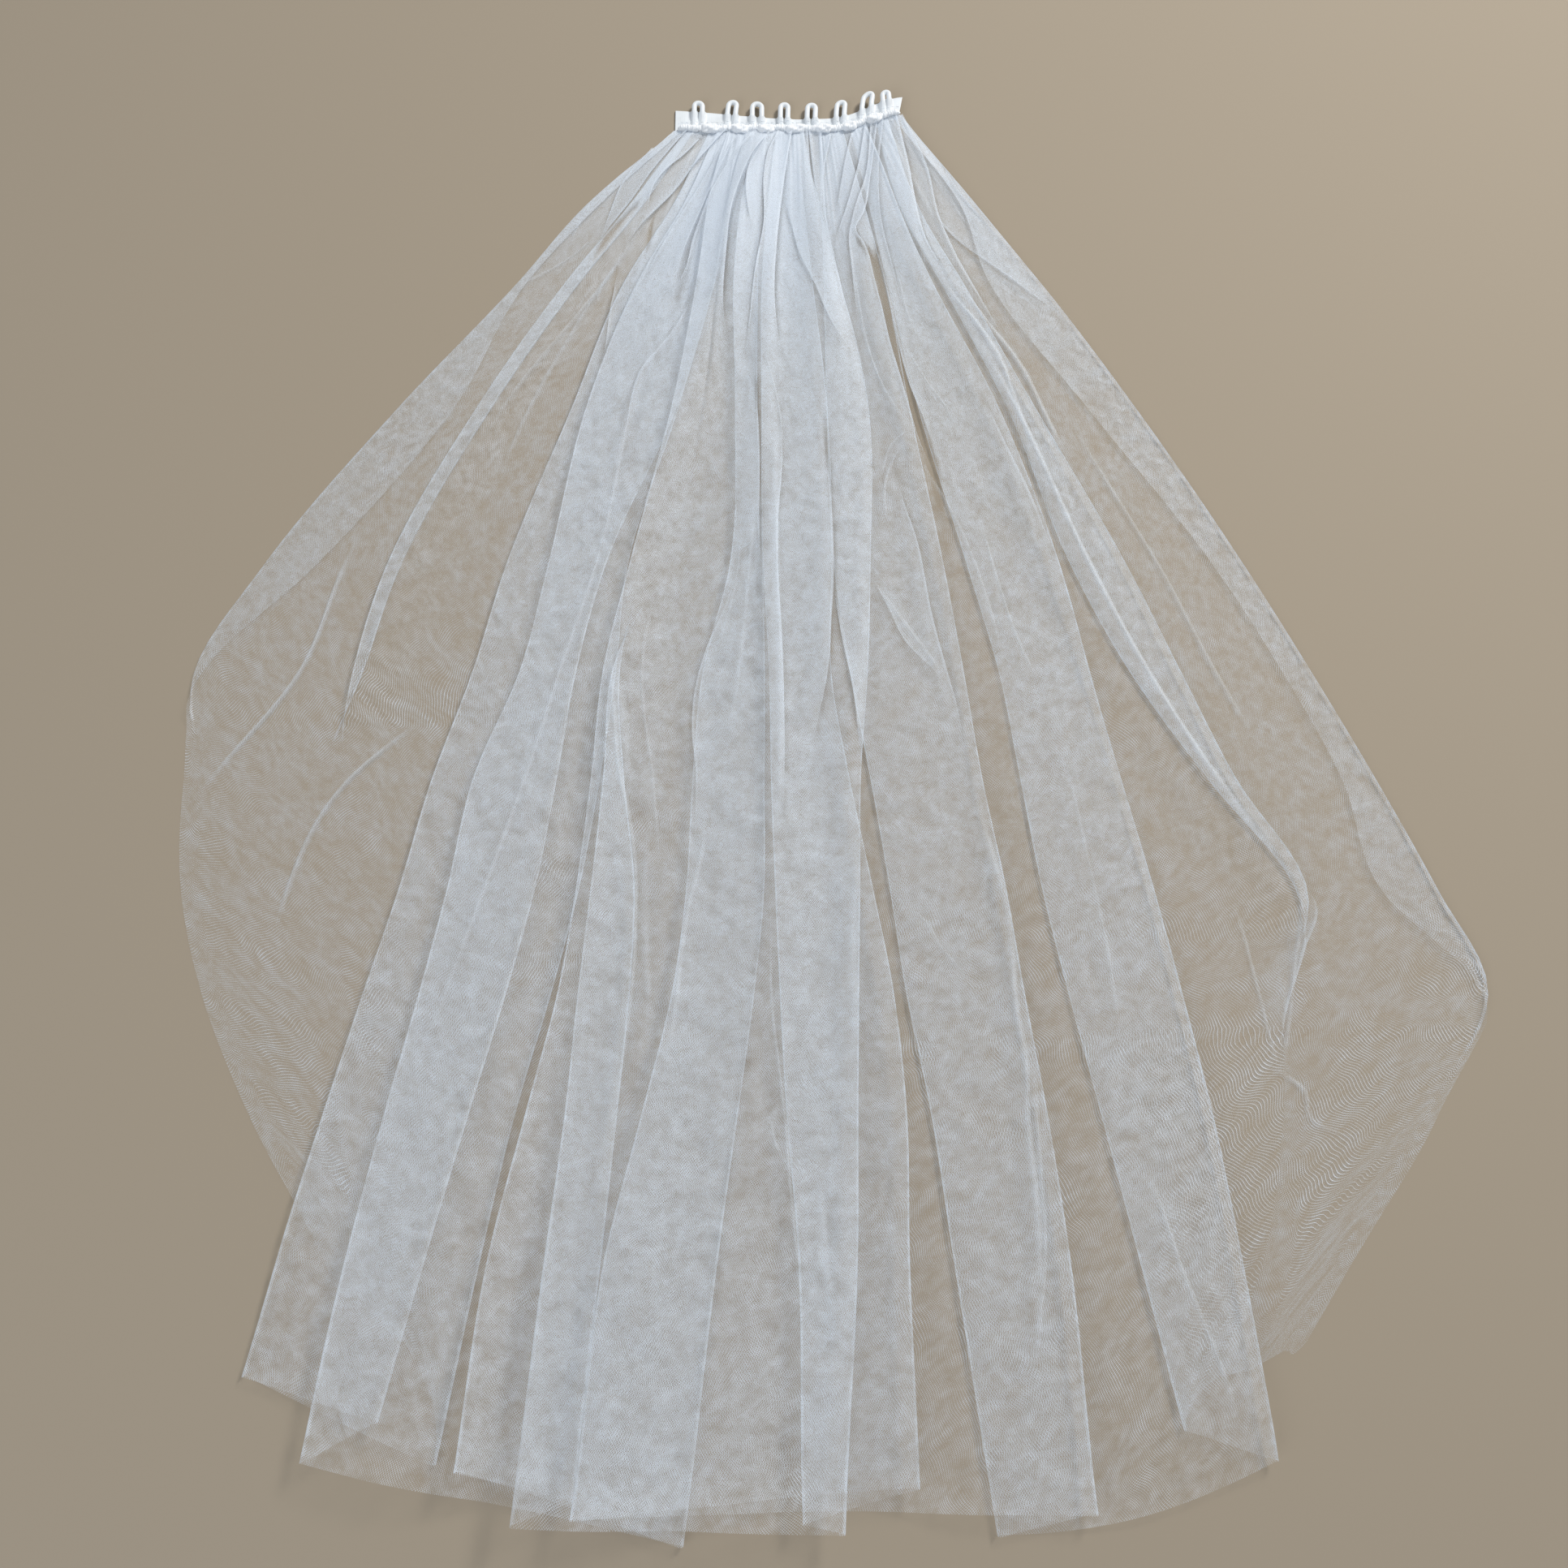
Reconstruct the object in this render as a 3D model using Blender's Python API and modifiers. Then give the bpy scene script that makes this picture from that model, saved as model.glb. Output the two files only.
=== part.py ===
"""A gathered tulle bridal veil laid flat on a table.

One sheet of net is gathered onto a narrow tape. A knobbly roll of gathered net and thread
covers the seam, and eight cord loops stand out past the tape's far edge.
The veil lies along Y: the tape is at the far end (+Y) and the hem at the near end (-Y).
Sizes are in millimetres until MM turns them into metres. Places are measured from the seam, which runs
under the roll: x to the right of the middle of the table's view, and distances down from it to the hem.
"""
import math

import bpy
import numpy as np

MM = 0.001

# Driving sizes
NET_WALL = 1.0
SEAM_GAP = 0.3
TAPE_LENGTH = 118.0
TAPE_MIDDLE_X = 2.5
TAPE_NEAR_EDGE = 2.8
TAPE_THICKNESS = 1.0
TAPE_STEPS = 40
ROLL_LENGTH = 115.0
ROLL_RADIUS = 1.3
ROLL_BEAD = 0.8
ROLL_INSET = 0.2
ROLL_RINGS = 72
KNOT_PITCH = 2.4
KNOT_HEIGHT = 0.2
CORD_RADIUS = 1.3
LOOP_TURN_STEPS = 6

# The right end of the tape is drawn back from the hem and lifted, with the gathers next to it
TWIST_STARTS_X = 25.0
TWIST_WIDTH = 36.0
TWIST_BACK = 7.0
TWIST_LIFT = 3.5
TWIST_FADES_AT = 80.0

# Fold lines of the net. Columns: the distance down of the hem there, then x at each distance in DOWN.
# The cloth runs through the rows in order, so it turns back at each line where x goes right, left, right.
# Where neighbouring lines stand in plain left to right order, the pleat between them has died out.
DOWN = (0, 45, 90, 160, 245, 298, 350, 402, 446, 500, 560, 640)
FOLDS = {
    "left_edge": (572, -52, -94, -129, -162, -225, -273, -277, -273, -260, -234, -197, -160),
    "left_outline": (575, -56, -101, -134, -190, -250, -277, -269, -265, -252, -227, -190, -155),
    "narrow_right": (588, -46, -72, -103, -144, -184, -198, -214, -212, -204, -193, -179, -153),
    "narrow_left": (594, -50, -78, -109, -150, -190, -202, -206, -204, -196, -185, -171, -148),
    "first_right": (642, -20, -28, -35, -52, -75, -79, -85, -93, -103, -117, -129, -143),
    "first_left": (608, -38, -56, -80, -104, -133, -146, -162, -174, -186, -200, -215, -234),
    "second_right": (625, -15, -23, -34, -52, -85, -97, -104, -112, -122, -136, -151, -170),
    "second_left": (640, -34, -50, -72, -96, -112, -123, -142, -151, -160, -172, -184, -197),
    "third_right": (673, -8, -12, -13, -13, -10, -9, -9, -9, -13, -20, -28, -37),
    "third_left": (643, -29, -38, -43, -54, -73, -84, -88, -93, -99, -111, -124, -133),
    "fourth_right": (655, -24, -33, -37, -47, -66, -76, -73, -67, -68, -72, -77, -84),
    "fourth_left": (662, -19, -28, -32, -39, -57, -79, -82, -86, -90, -94, -100, -107),
    "middle_right": (666, 10, 14, 20, 40, 41, 39, 35, 34, 33, 32, 31, 26),
    "middle_left": (663, -4, -8, -11, -11, -10, -7, -6, -4, -2, 1, 6, 7),
    "under_right": (650, 6, 10, 14, 21, 23, 22, 30, 40, 48, 53, 53, 55),
    "under_left": (660, -12, -21, -25, -24, -26, -38, -42, -44, -48, -51, -52, -58),
    "fifth_right": (660, 30, 40, 50, 61, 76, 84, 91, 100, 106, 114, 121, 126),
    "fifth_left": (669, 18, 19, 20, 21, 24, 31, 40, 48, 54, 64, 72, 83),
    "sixth_right": (640, 42, 56, 73, 104, 131, 143, 155, 167, 176, 186, 194, 203),
    "sixth_left": (629, 34, 43, 52, 66, 88, 101, 109, 117, 126, 138, 151, 168),
    "ridge_right": (608, 53, 67, 89, 123, 164, 186, 208, 236, 224, 219, 206, 166),
    "ridge_left": (606, 47, 58, 79, 110, 138, 163, 196, 232, 232, 228, 216, 174),
    "right_outline": (598, 60, 97, 129, 173, 221, 248, 273, 296, 313, 280, 238, 182),
    "right_edge": (594, 55, 89, 103, 149, 206, 234, 257, 270, 309, 286, 244, 188),
}
# How many points the section has between each fold line and the next one, in the order above
POINTS_BETWEEN = (1, 2, 1, 3, 3, 2, 3, 5, 3, 2, 1, 7, 2, 3, 4, 6, 2, 4, 2, 2, 1, 2, 1)
# The length of cloth that lies over all the others runs from this fold line to the next
TOP_LENGTH_STARTS = "fourth_left"

# Rows of the net, as distances down at FULL_HEM. Rows above ROWS_LEVEL_TO lie straight across, and
# those below it bend to follow the hem.
ROWS = (TAPE_NEAR_EDGE, 18, 42, 72, 108, 150, 200, 245, 266, 284, 298, 316, 334, 368, 402, 417, 432, 450, 470,
        492, 540, 595, 640)
FULL_HEM = 640.0
ROWS_LEVEL_TO = 450.0

# Distance down: how far each layer lies above the one below it, and the width over which it comes
# down again past that one's fold
LAYER_RISE = {0: 1.65, 60: 1.65, 200: 1.85, 350: 2.1, 500: 2.9, 640: 4.2}
RAMP_WIDTH = {0: 20, 60: 22, 200: 26, 350: 31, 500: 38, 640: 52}
# A fold's nose is this share of the layer rise deep
NOSE_PER_RISE = 0.5
# A pleat narrower than STANDING_WIDTH stands on edge, and is flat once it has opened by FOLD_FADE
STANDING_WIDTH = 4.0
FOLD_FADE = 4.0
PLEAT_STAND = 0.6
FREE_STAND = 1.6
# How many mm across count as much as 1 mm of climb when the section's points are spread out
CLIMB_COST = 12.0
FINE_STEPS = 80

# The tape's far edge. Columns: x, and its distance from the seam
TAPE_FAR_EDGE = (
    (-56.5, 11.7),
    (-40.0, 10.4),
    (-20.0, 8.3),
    (10.0, 6.4),
    (30.0, 7.4),
    (45.0, 8.6),
    (61.5, 10.2),
)

# Cord loops. Columns: x of the middle, how far the tip leans to the right, half the width between the
# middles of the legs, and how far the tip stands from the seam
LOOPS = (
    (-44.5, 0.0, 2.1, 15.9),
    (-27.5, 1.2, 2.1, 16.3),
    (-14.0, 0.0, 2.45, 15.4),
    (0.0, 0.3, 1.95, 14.9),
    (14.0, 0.5, 2.1, 14.6),
    (29.0, 1.0, 2.1, 15.8),
    (42.5, 1.8, 2.4, 16.2),
    (53.0, -0.5, 1.6, 14.0),
)


def clear_scene():
    """Remove every object of the open scene."""
    for thing in list(bpy.context.scene.objects):
        bpy.data.objects.remove(thing, do_unlink=True)


def smooth_step(value):
    """Ease from 0 to 1 as value goes from 0 to 1."""
    t = np.clip(value, 0.0, 1.0)
    return t * t * (3.0 - 2.0 * t)


def smooth_line(places, values, at):
    """Read a smooth curve through (places, values), by cubic pieces with Catmull-Rom slopes."""
    places, values = np.asarray(places, float), np.asarray(values, float)
    slopes = np.gradient(values, places)
    i = np.clip(np.searchsorted(places, at, side="right") - 1, 0, len(places) - 2)
    step = places[i + 1] - places[i]
    t = (at - places[i]) / step
    start, end = values[i], values[i + 1]
    rise_in, rise_out = slopes[i] * step, slopes[i + 1] * step
    curve = (2 * t**3 - 3 * t**2 + 1) * start + (t**3 - 2 * t**2 + t) * rise_in
    return curve + (3 * t**2 - 2 * t**3) * end + (t**3 - t**2) * rise_out


# Fold lines and the order in which the lengths of cloth between them are laid
NAMES = list(FOLDS)
HEMS = np.array([FOLDS[name][0] for name in NAMES], float)
LENGTHS = len(NAMES) - 1


def laying_order():
    """Rank of each length of cloth: both sides are laid first, outside to middle, and the top last."""
    top = NAMES.index(TOP_LENGTH_STARTS)
    ranks = [k if k < top else 2 * LENGTHS - k for k in range(LENGTHS)]
    ranks[top] = 3 * LENGTHS
    ranks[0], ranks[1] = ranks[1], ranks[0]
    ranks[-1], ranks[-2] = ranks[-2], ranks[-1]
    return ranks


RANKS = laying_order()


def fold_places(down):
    """X of every fold line, as one row each, at the distances down from the seam."""
    return np.array([smooth_line(DOWN, FOLDS[name][1:], down) for name in NAMES])


def at_distance(table, down):
    """Read a table of values by distance down from the seam."""
    return smooth_line(list(table), list(table.values()), down)


def folded(x, turn):
    """1 where the cloth turns back on itself at a fold line, and less as its pleat opens out flat."""
    heading = 1 if turn % 2 == 0 else -1
    overlap = np.minimum(heading * (x[turn] - x[turn - 1]), heading * (x[turn] - x[turn + 1]))
    return smooth_step(1.0 + overlap / FOLD_FADE)


def height(length, place, down, x):
    """Height of the middle of one length's wall, at places above the lengths laid before it."""
    rise = at_distance(LAYER_RISE, down)
    covers = []
    for other, rank in enumerate(RANKS):
        low, high = np.minimum(x[other], x[other + 1]), np.maximum(x[other], x[other + 1])
        outside = np.maximum(np.maximum(low - place, place - high), 0.0)
        cover = 1.0 - smooth_step((outside - NOSE_PER_RISE * rise) / at_distance(RAMP_WIDTH, down))
        covers.append(cover if rank < RANKS[length] else np.full_like(place, float(other == length)))
    level = sum(covers) - 1.0
    for turn in range(1, LENGTHS):
        level = level - (1.0 - folded(x, turn)) * np.minimum(covers[turn - 1], covers[turn])
    return NET_WALL / 2 + rise * level


def twist(place, down):
    """How much of the right end's twist there is at a place, from 0 to 1."""
    along = float(smooth_step((place - TWIST_STARTS_X) / TWIST_WIDTH))
    return along * (1.0 - min(down / TWIST_FADES_AT, 1.0)) ** 2


def down_at(row, hem):
    """Distance down of a row where the hem lies at the given distance."""
    if row <= ROWS_LEVEL_TO:
        return np.full_like(hem, row)
    return ROWS_LEVEL_TO + (row - ROWS_LEVEL_TO) * (hem - ROWS_LEVEL_TO) / (FULL_HEM - ROWS_LEVEL_TO)


def nose(x, turn, towards, rise):
    """X of the section's point just before or after a fold line."""
    return x[turn] + np.clip((x[towards] - x[turn]) / 2.0, -NOSE_PER_RISE * rise, NOSE_PER_RISE * rise)


def standing_lean(length, share, x):
    """Extra height, in layer rises, that stands a narrowing pleat or strip on edge before it opens flat."""
    standing = 1.0 - smooth_step(np.abs(x[length + 1] - x[length]) / STANDING_WIDTH)
    if length == 0:
        return FREE_STAND * (1.0 - share) * standing * folded(x, 1)
    if length == LENGTHS - 1:
        return FREE_STAND * share * standing * folded(x, length)
    climb = PLEAT_STAND if RANKS[length + 1] > RANKS[length - 1] else -PLEAT_STAND
    return climb * (share - 0.5) * standing * folded(x, length)


def length_points(length, row):
    """Points of one length of cloth between its two fold lines, closer together where it climbs."""
    share = np.linspace(0.0, 1.0, FINE_STEPS + 1)
    down = down_at(row, HEMS[length] * (1 - share) + HEMS[length + 1] * share)
    x = fold_places(down)
    rise = at_distance(LAYER_RISE, down)
    start = nose(x, length, length + 1, rise) if length > 0 else x[length]
    end = nose(x, length + 1, length, rise) if length + 1 < LENGTHS else x[length + 1]
    place = start * (1 - share) + end * share
    z = height(length, place, down, x) + rise * standing_lean(length, share, x)
    cost = np.abs(np.diff(place)) + CLIMB_COST * np.abs(np.diff(z)) + 0.02
    run = np.concatenate(([0.0], np.cumsum(cost)))
    wanted = np.linspace(0.0, run[-1], POINTS_BETWEEN[length] + 2)
    return np.stack([np.interp(wanted, run, line) for line in (place, down, z)], axis=1)


def turn_point(turn, row):
    """Outermost point of the fold between one length of cloth and the next."""
    down = down_at(row, HEMS[turn:turn + 1])
    x = fold_places(down)
    low = height(turn - 1, x[turn], down, x)
    high = height(turn, x[turn], down, x)
    return np.stack((x[turn], down, (low + high) / 2), axis=1)


def net_section(row):
    """One row of the net: points (x, distance down, z) along the middle of the wall."""
    points = [length_points(0, row)]
    for length in range(1, LENGTHS):
        points.append(turn_point(length, row))
        points.append(length_points(length, row))
    return np.concatenate(points)


def placed(x, down, z):
    """Turn a place measured from the seam into metres, with the right end's twist."""
    turned = twist(x, max(down, 0.0))
    return (x * MM, (TWIST_BACK * turned - down) * MM, (z + TWIST_LIFT * turned) * MM)


def sheet_mesh(name, rows):
    """Open sheet lofted through rows of points, all with the same number of points."""
    columns = len(rows[0])
    faces = []
    for r in range(len(rows) - 1):
        for c in range(columns - 1):
            a = r * columns + c
            faces.append((a, a + columns, a + columns + 1, a + 1))
    mesh = bpy.data.meshes.new(name)
    mesh.from_pydata([point for row in rows for point in row], [], faces)
    return mesh


def net_mesh():
    """The sheet of net, as the middle surface of its wall."""
    rows = []
    for row in ROWS:
        rows.append([placed(x, down + SEAM_GAP, z) for x, down, z in net_section(row)])
    return sheet_mesh("net", rows)


def tape_mesh():
    """The underside of the tape, with a far edge that dips in the middle."""
    xs = np.linspace(TAPE_MIDDLE_X - TAPE_LENGTH / 2, TAPE_MIDDLE_X + TAPE_LENGTH / 2, TAPE_STEPS)
    edge_x, edge_y = zip(*TAPE_FAR_EDGE)
    far = [placed(x, -reach, 0.0) for x, reach in zip(xs, smooth_line(edge_x, edge_y, xs))]
    near = [placed(x, TAPE_NEAR_EDGE, 0.0) for x in xs]
    return sheet_mesh("tape", [far, near])


def thicken(piece, wall, offset):
    """Give an open sheet its wall: offset 0 puts half to each side, and 1 puts it all on top."""
    solidify = piece.modifiers.new("wall", "SOLIDIFY")
    solidify.thickness = wall * MM
    solidify.offset = offset


def tube_curve(name, radius, points, swell=None):
    """Closed tube along points, whose radius may swell at each of them."""
    curve = bpy.data.curves.new(name, "CURVE")
    curve.dimensions = "3D"
    curve.bevel_depth = radius * MM
    curve.bevel_resolution = 2
    curve.use_fill_caps = True
    spline = curve.splines.new("POLY")
    spline.points.add(len(points) - 1)
    for i, point in enumerate(points):
        spline.points[i].co = (*point, 1.0)
        spline.points[i].radius = swell[i] if swell else 1.0
    return curve


def roll_radius(x):
    """Radius of the roll: a fat bead between each two loops, and small knots between the beads."""
    nearest = min(abs(x - loop[0]) for loop in LOOPS)
    bead = float(smooth_step((nearest - 1.5) / 3.0))
    knot = KNOT_HEIGHT * abs(math.sin(math.pi * x / KNOT_PITCH))
    return ROLL_RADIUS + ROLL_BEAD * bead + knot * (1.0 - bead)


def roll_curve():
    """Knobbly roll along the seam, on top of the tape's near edge, tapered at its ends."""
    start, end = TAPE_MIDDLE_X - ROLL_LENGTH / 2, TAPE_MIDDLE_X + ROLL_LENGTH / 2
    down = TAPE_NEAR_EDGE - ROLL_INSET - ROLL_BEAD - ROLL_RADIUS
    points, swell = [], []
    for x in np.linspace(start, end, ROLL_RINGS):
        taper = min(1.0, 0.45 + 0.3 * min(x - start, end - x))
        radius = roll_radius(x) * taper
        points.append(placed(x, down, TAPE_THICKNESS + SEAM_GAP + radius))
        swell.append(radius / ROLL_RADIUS)
    return tube_curve("roll", ROLL_RADIUS, points, swell)


def loop_curve(middle, lean, half_width, tip):
    """Cord loop: two legs from the roll, over the tape, joined by a round end."""
    root = 2 * (ROLL_RADIUS + ROLL_BEAD) + ROLL_INSET + SEAM_GAP - TAPE_NEAR_EDGE
    turn = tip - CORD_RADIUS - half_width
    route = [(-half_width, root), (-half_width, (root + turn) / 2)]
    for step in range(LOOP_TURN_STEPS + 1):
        angle = math.pi * (1 - step / LOOP_TURN_STEPS)
        route.append((half_width * math.cos(angle), turn + half_width * math.sin(angle)))
    route += [(half_width, (root + turn) / 2), (half_width, root)]
    points = []
    for side, reach in route:
        leant = lean * ((reach - root) / (tip - root)) ** 2
        points.append(placed(middle + side + leant, -reach, TAPE_THICKNESS + SEAM_GAP + CORD_RADIUS))
    return tube_curve("loop", CORD_RADIUS, points)


def material(name, colour, roughness):
    """Plain Principled material."""
    made = bpy.data.materials.new(name)
    made.use_nodes = True
    shader = made.node_tree.nodes["Principled BSDF"]
    shader.inputs["Base Color"].default_value = (*colour, 1.0)
    shader.inputs["Roughness"].default_value = roughness
    shader.inputs["Metallic"].default_value = 0.0
    return made


def add_piece(name, data, finish, holder):
    """Put one named piece in the veil's collection, riding on the empty at its origin."""
    piece = bpy.data.objects.new(name, data)
    data.materials.append(finish)
    holder.users_collection[0].objects.link(piece)
    piece.parent = holder
    return piece


def stand_on_origin(holder, pieces):
    """Move the veil so that the middle of its box's underside is at the world's origin."""
    graph = bpy.context.evaluated_depsgraph_get()
    points = []
    for piece in pieces:
        shape = piece.evaluated_get(graph).to_mesh()
        points += [point.co[:] for point in shape.vertices]
    low, high = np.min(points, axis=0), np.max(points, axis=0)
    holder.location = (-(low[0] + high[0]) / 2, -(low[1] + high[1]) / 2, -low[2])


def build_veil():
    """Make every piece of the veil, each with its own material."""
    clear_scene()
    home = bpy.data.collections.new("veil")
    bpy.context.scene.collection.children.link(home)
    holder = bpy.data.objects.new("veil_origin", None)
    home.objects.link(holder)
    net_white = material("net_white", (0.90, 0.91, 0.94), 0.6)
    tape_white = material("tape_white", (0.84, 0.87, 0.90), 0.45)
    roll_white = material("roll_white", (0.88, 0.90, 0.92), 0.6)
    cord_white = material("cord_white", (0.86, 0.88, 0.91), 0.5)
    net = add_piece("net", net_mesh(), net_white, holder)
    thicken(net, NET_WALL, 0.0)
    tape = add_piece("tape", tape_mesh(), tape_white, holder)
    thicken(tape, TAPE_THICKNESS, 1.0)
    pieces = [net, tape, add_piece("gathered_roll", roll_curve(), roll_white, holder)]
    for index, sizes in enumerate(LOOPS, start=1):
        pieces.append(add_piece("loop_%d" % index, loop_curve(*sizes), cord_white, holder))
    stand_on_origin(holder, pieces)


build_veil()
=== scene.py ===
"""Looks of a gathered tulle bridal veil that lies flat on a plain pale table.

Places on the veil are in millimetres: x to the right of the middle of the camera's view, down from the
seam to the hem, and z up from the table. world() turns them into the frame's metres.
"""
import math

import bpy
import numpy as np
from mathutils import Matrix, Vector
from mathutils.bvhtree import BVHTree

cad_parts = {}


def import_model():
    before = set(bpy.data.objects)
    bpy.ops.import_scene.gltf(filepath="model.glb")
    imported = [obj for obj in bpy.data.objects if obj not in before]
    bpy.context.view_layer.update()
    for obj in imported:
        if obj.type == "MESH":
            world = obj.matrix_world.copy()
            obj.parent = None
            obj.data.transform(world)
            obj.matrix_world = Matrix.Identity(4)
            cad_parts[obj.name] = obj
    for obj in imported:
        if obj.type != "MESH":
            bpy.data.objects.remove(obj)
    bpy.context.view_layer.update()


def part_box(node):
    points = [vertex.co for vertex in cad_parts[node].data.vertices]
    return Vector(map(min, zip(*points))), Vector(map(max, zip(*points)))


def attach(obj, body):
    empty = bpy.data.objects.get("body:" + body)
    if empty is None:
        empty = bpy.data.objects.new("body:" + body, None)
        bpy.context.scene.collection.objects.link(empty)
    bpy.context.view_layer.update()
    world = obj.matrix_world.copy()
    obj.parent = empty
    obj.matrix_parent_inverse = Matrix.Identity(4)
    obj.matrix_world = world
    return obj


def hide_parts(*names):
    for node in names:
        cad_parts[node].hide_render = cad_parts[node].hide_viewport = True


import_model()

MM = 0.001
SEED = 11

# The photo's camera, in metres: it looks steeply down, with the tape at the far end
CAMERA_HEIGHT = 0.70
CAMERA_BEFORE_SEAM = 0.53885
CAMERA_DOWN_ANGLE = math.radians(75)
# Its lens and sensor, in millimetres
CAMERA_LENS = 36.056
CAMERA_SENSOR = 36

# Sizes shared with the solids
SEAM_GAP = 0.3
TAPE_LEFT_X = -56.5
TAPE_RIGHT_X = 61.5
TAPE_NEAR_EDGE = 2.8
TAPE_THICKNESS = 1
TAPE_FAR_EDGE = ((-56.5, 11.7), (-40, 10.4), (-20, 8.3), (10, 6.4), (30, 7.4), (45, 8.6), (61.5, 10.2))
ROLL_LEFT_X = -55
ROLL_RIGHT_X = 60
ROLL_DOWN = 0.5
CORD_RADIUS = 1.3
TWIST_STARTS_X = 25
TWIST_WIDTH = 36
TWIST_BACK = 7
TWIST_LIFT = 3.5
TWIST_FADES_AT = 80

# Cord loops. Columns: x of the middle, lean of the tip to the right, half the width between the legs'
# middles, distance of the tip from the seam
LOOPS = (
    (-44.5, 0, 2.1, 15.9),
    (-27.5, 1.2, 2.1, 16.3),
    (-14, 0, 2.45, 15.4),
    (0, 0.3, 1.95, 14.9),
    (14, 0.5, 2.1, 14.6),
    (29, 1, 2.1, 15.8),
    (42.5, 1.8, 2.4, 16.2),
    (53, -0.5, 1.6, 14),
)

# Fat beads of the roll. Columns: x of the middle, half the length
BEADS = ((-38.2, 4.6), (-22.7, 4), (-9.2, 4), (6, 4.9), (20.6, 3.8), (34, 3.2), (46.6, 3.6))

# Fold lines of the net. Columns: the distance down of the hem there, then x at each distance in DOWN.
# The cloth runs through the rows in order, so it turns back at each line where x goes right, left, right.
# Where neighbouring lines stand in plain left to right order, the pleat between them has died out.
DOWN = (0, 45, 90, 160, 245, 298, 350, 402, 446, 500, 560, 640)
FOLDS = {
    "left_edge": (572, -52, -94, -129, -162, -225, -273, -277, -273, -260, -234, -197, -160),
    "left_outline": (575, -56, -101, -134, -190, -250, -277, -269, -265, -252, -227, -190, -155),
    "narrow_right": (588, -46, -72, -103, -144, -184, -198, -214, -212, -204, -193, -179, -153),
    "narrow_left": (594, -50, -78, -109, -150, -190, -202, -206, -204, -196, -185, -171, -148),
    "first_right": (642, -20, -28, -35, -52, -75, -79, -85, -93, -103, -117, -129, -143),
    "first_left": (608, -38, -56, -80, -104, -133, -146, -162, -174, -186, -200, -215, -234),
    "second_right": (625, -15, -23, -34, -52, -85, -97, -104, -112, -122, -136, -151, -170),
    "second_left": (640, -34, -50, -72, -96, -112, -123, -142, -151, -160, -172, -184, -197),
    "third_right": (673, -8, -12, -13, -13, -10, -9, -9, -9, -13, -20, -28, -37),
    "third_left": (643, -29, -38, -43, -54, -73, -84, -88, -93, -99, -111, -124, -133),
    "fourth_right": (655, -24, -33, -37, -47, -66, -76, -73, -67, -68, -72, -77, -84),
    "fourth_left": (662, -19, -28, -32, -39, -57, -79, -82, -86, -90, -94, -100, -107),
    "middle_right": (666, 10, 16, 27, 41, 41, 39, 35, 34, 33, 32, 31, 26),
    "middle_left": (663, -4, -8, -11, -11, -10, -7, -6, -4, -2, 1, 6, 7),
    "under_right": (650, 6, 10, 14, 21, 23, 22, 30, 40, 48, 53, 53, 55),
    "under_left": (660, -12, -21, -25, -24, -26, -38, -42, -44, -49, -61, -75, -83),
    "fifth_right": (660, 30, 40, 50, 61, 76, 84, 91, 100, 106, 114, 121, 126),
    "fifth_left": (669, 18, 19, 20, 21, 24, 31, 40, 48, 54, 64, 72, 83),
    "sixth_right": (640, 42, 56, 73, 104, 131, 143, 155, 167, 176, 186, 194, 203),
    "sixth_left": (629, 34, 43, 52, 66, 88, 101, 109, 117, 126, 138, 151, 168),
    "ridge_right": (608, 53, 67, 89, 123, 164, 186, 208, 236, 224, 219, 206, 166),
    "ridge_left": (606, 47, 58, 79, 110, 138, 163, 196, 232, 232, 228, 216, 174),
    "right_outline": (598, 60, 97, 129, 173, 221, 248, 273, 296, 313, 280, 238, 182),
    "right_edge": (594, 55, 89, 103, 149, 206, 234, 257, 270, 309, 286, 244, 188),
}
TOP_LENGTH_STARTS = "fourth_left"
FULL_HEM = 640
ROWS_LEVEL_TO = 450

# Lengths of cloth whose hem hangs lower in the middle, by the fold line where they start, and how much
HEM_BULGES = {"fifth_left": 7, "right_outline": 3, "left_edge": 3}

# Distance down: rise of each layer over the one below, and width over which it comes down past it
LAYER_RISE = {0: 0.4, 20: 1.1, 60: 1.65, 200: 1.85, 350: 2.1, 500: 2.9, 640: 4.2}
RAMP_WIDTH = {0: 20, 60: 22, 200: 26, 350: 31, 500: 38, 640: 52}
NET_BASE = 0.5
# A fold's nose reaches out by this share of the rise, and a fold is gone once its lines cross by this
NOSE_PER_RISE = 0.35
FOLD_FADE = 4
# Pleats and free edges narrower than this stand up, by these shares of a rise, before they open flat
STANDING_WIDTH = 4
PLEAT_STAND = 0.6
FREE_STAND = 1.6

# Mesh of the net: pitch and least number of columns, steps round a fold's nose, and rows
COLUMN_PITCH = 2.2
LEAST_COLUMNS = 4
NOSE_STEPS = 6
ROWS = np.concatenate((np.linspace(1, 100, 38), np.linspace(107, FULL_HEM, 65)))

# The net is cut 1.5 m wide and gathered, and its mesh has a cell this wide and this long
CLOTH_WIDTH = 1500
CELL_WIDTH = 1
CELL_LENGTH = 1.12
# One layer covers this share of what lies under it, with threads this opaque and edges this soft
LAYER_COVER = 0.125
THREAD_OPACITY = 0.8
THREAD_SOFTNESS = 0.3
# Unevenness of the threads, less at the seam. Columns: size in mm of cloth, strength
MOTTLES = ((13, 0.35), (5, 0.55))
MOTTLES_FROM = 30
MOTTLES_FULL_AT = 200
MOTTLE_AT_SEAM = 0.15
# Noise pulls the mesh out of line: strength and size of a pull, in mm of cloth
PULL = 9
PULL_SIZE = 26

# Gathers at the seam: how far to each side they go, and how much they raise and thicken the net
GATHER_SPREAD_X = 66
GATHER_PITCH = 1.5
GATHER_HEIGHT = 0.55
GATHER_LAYERS = 1.6
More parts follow.
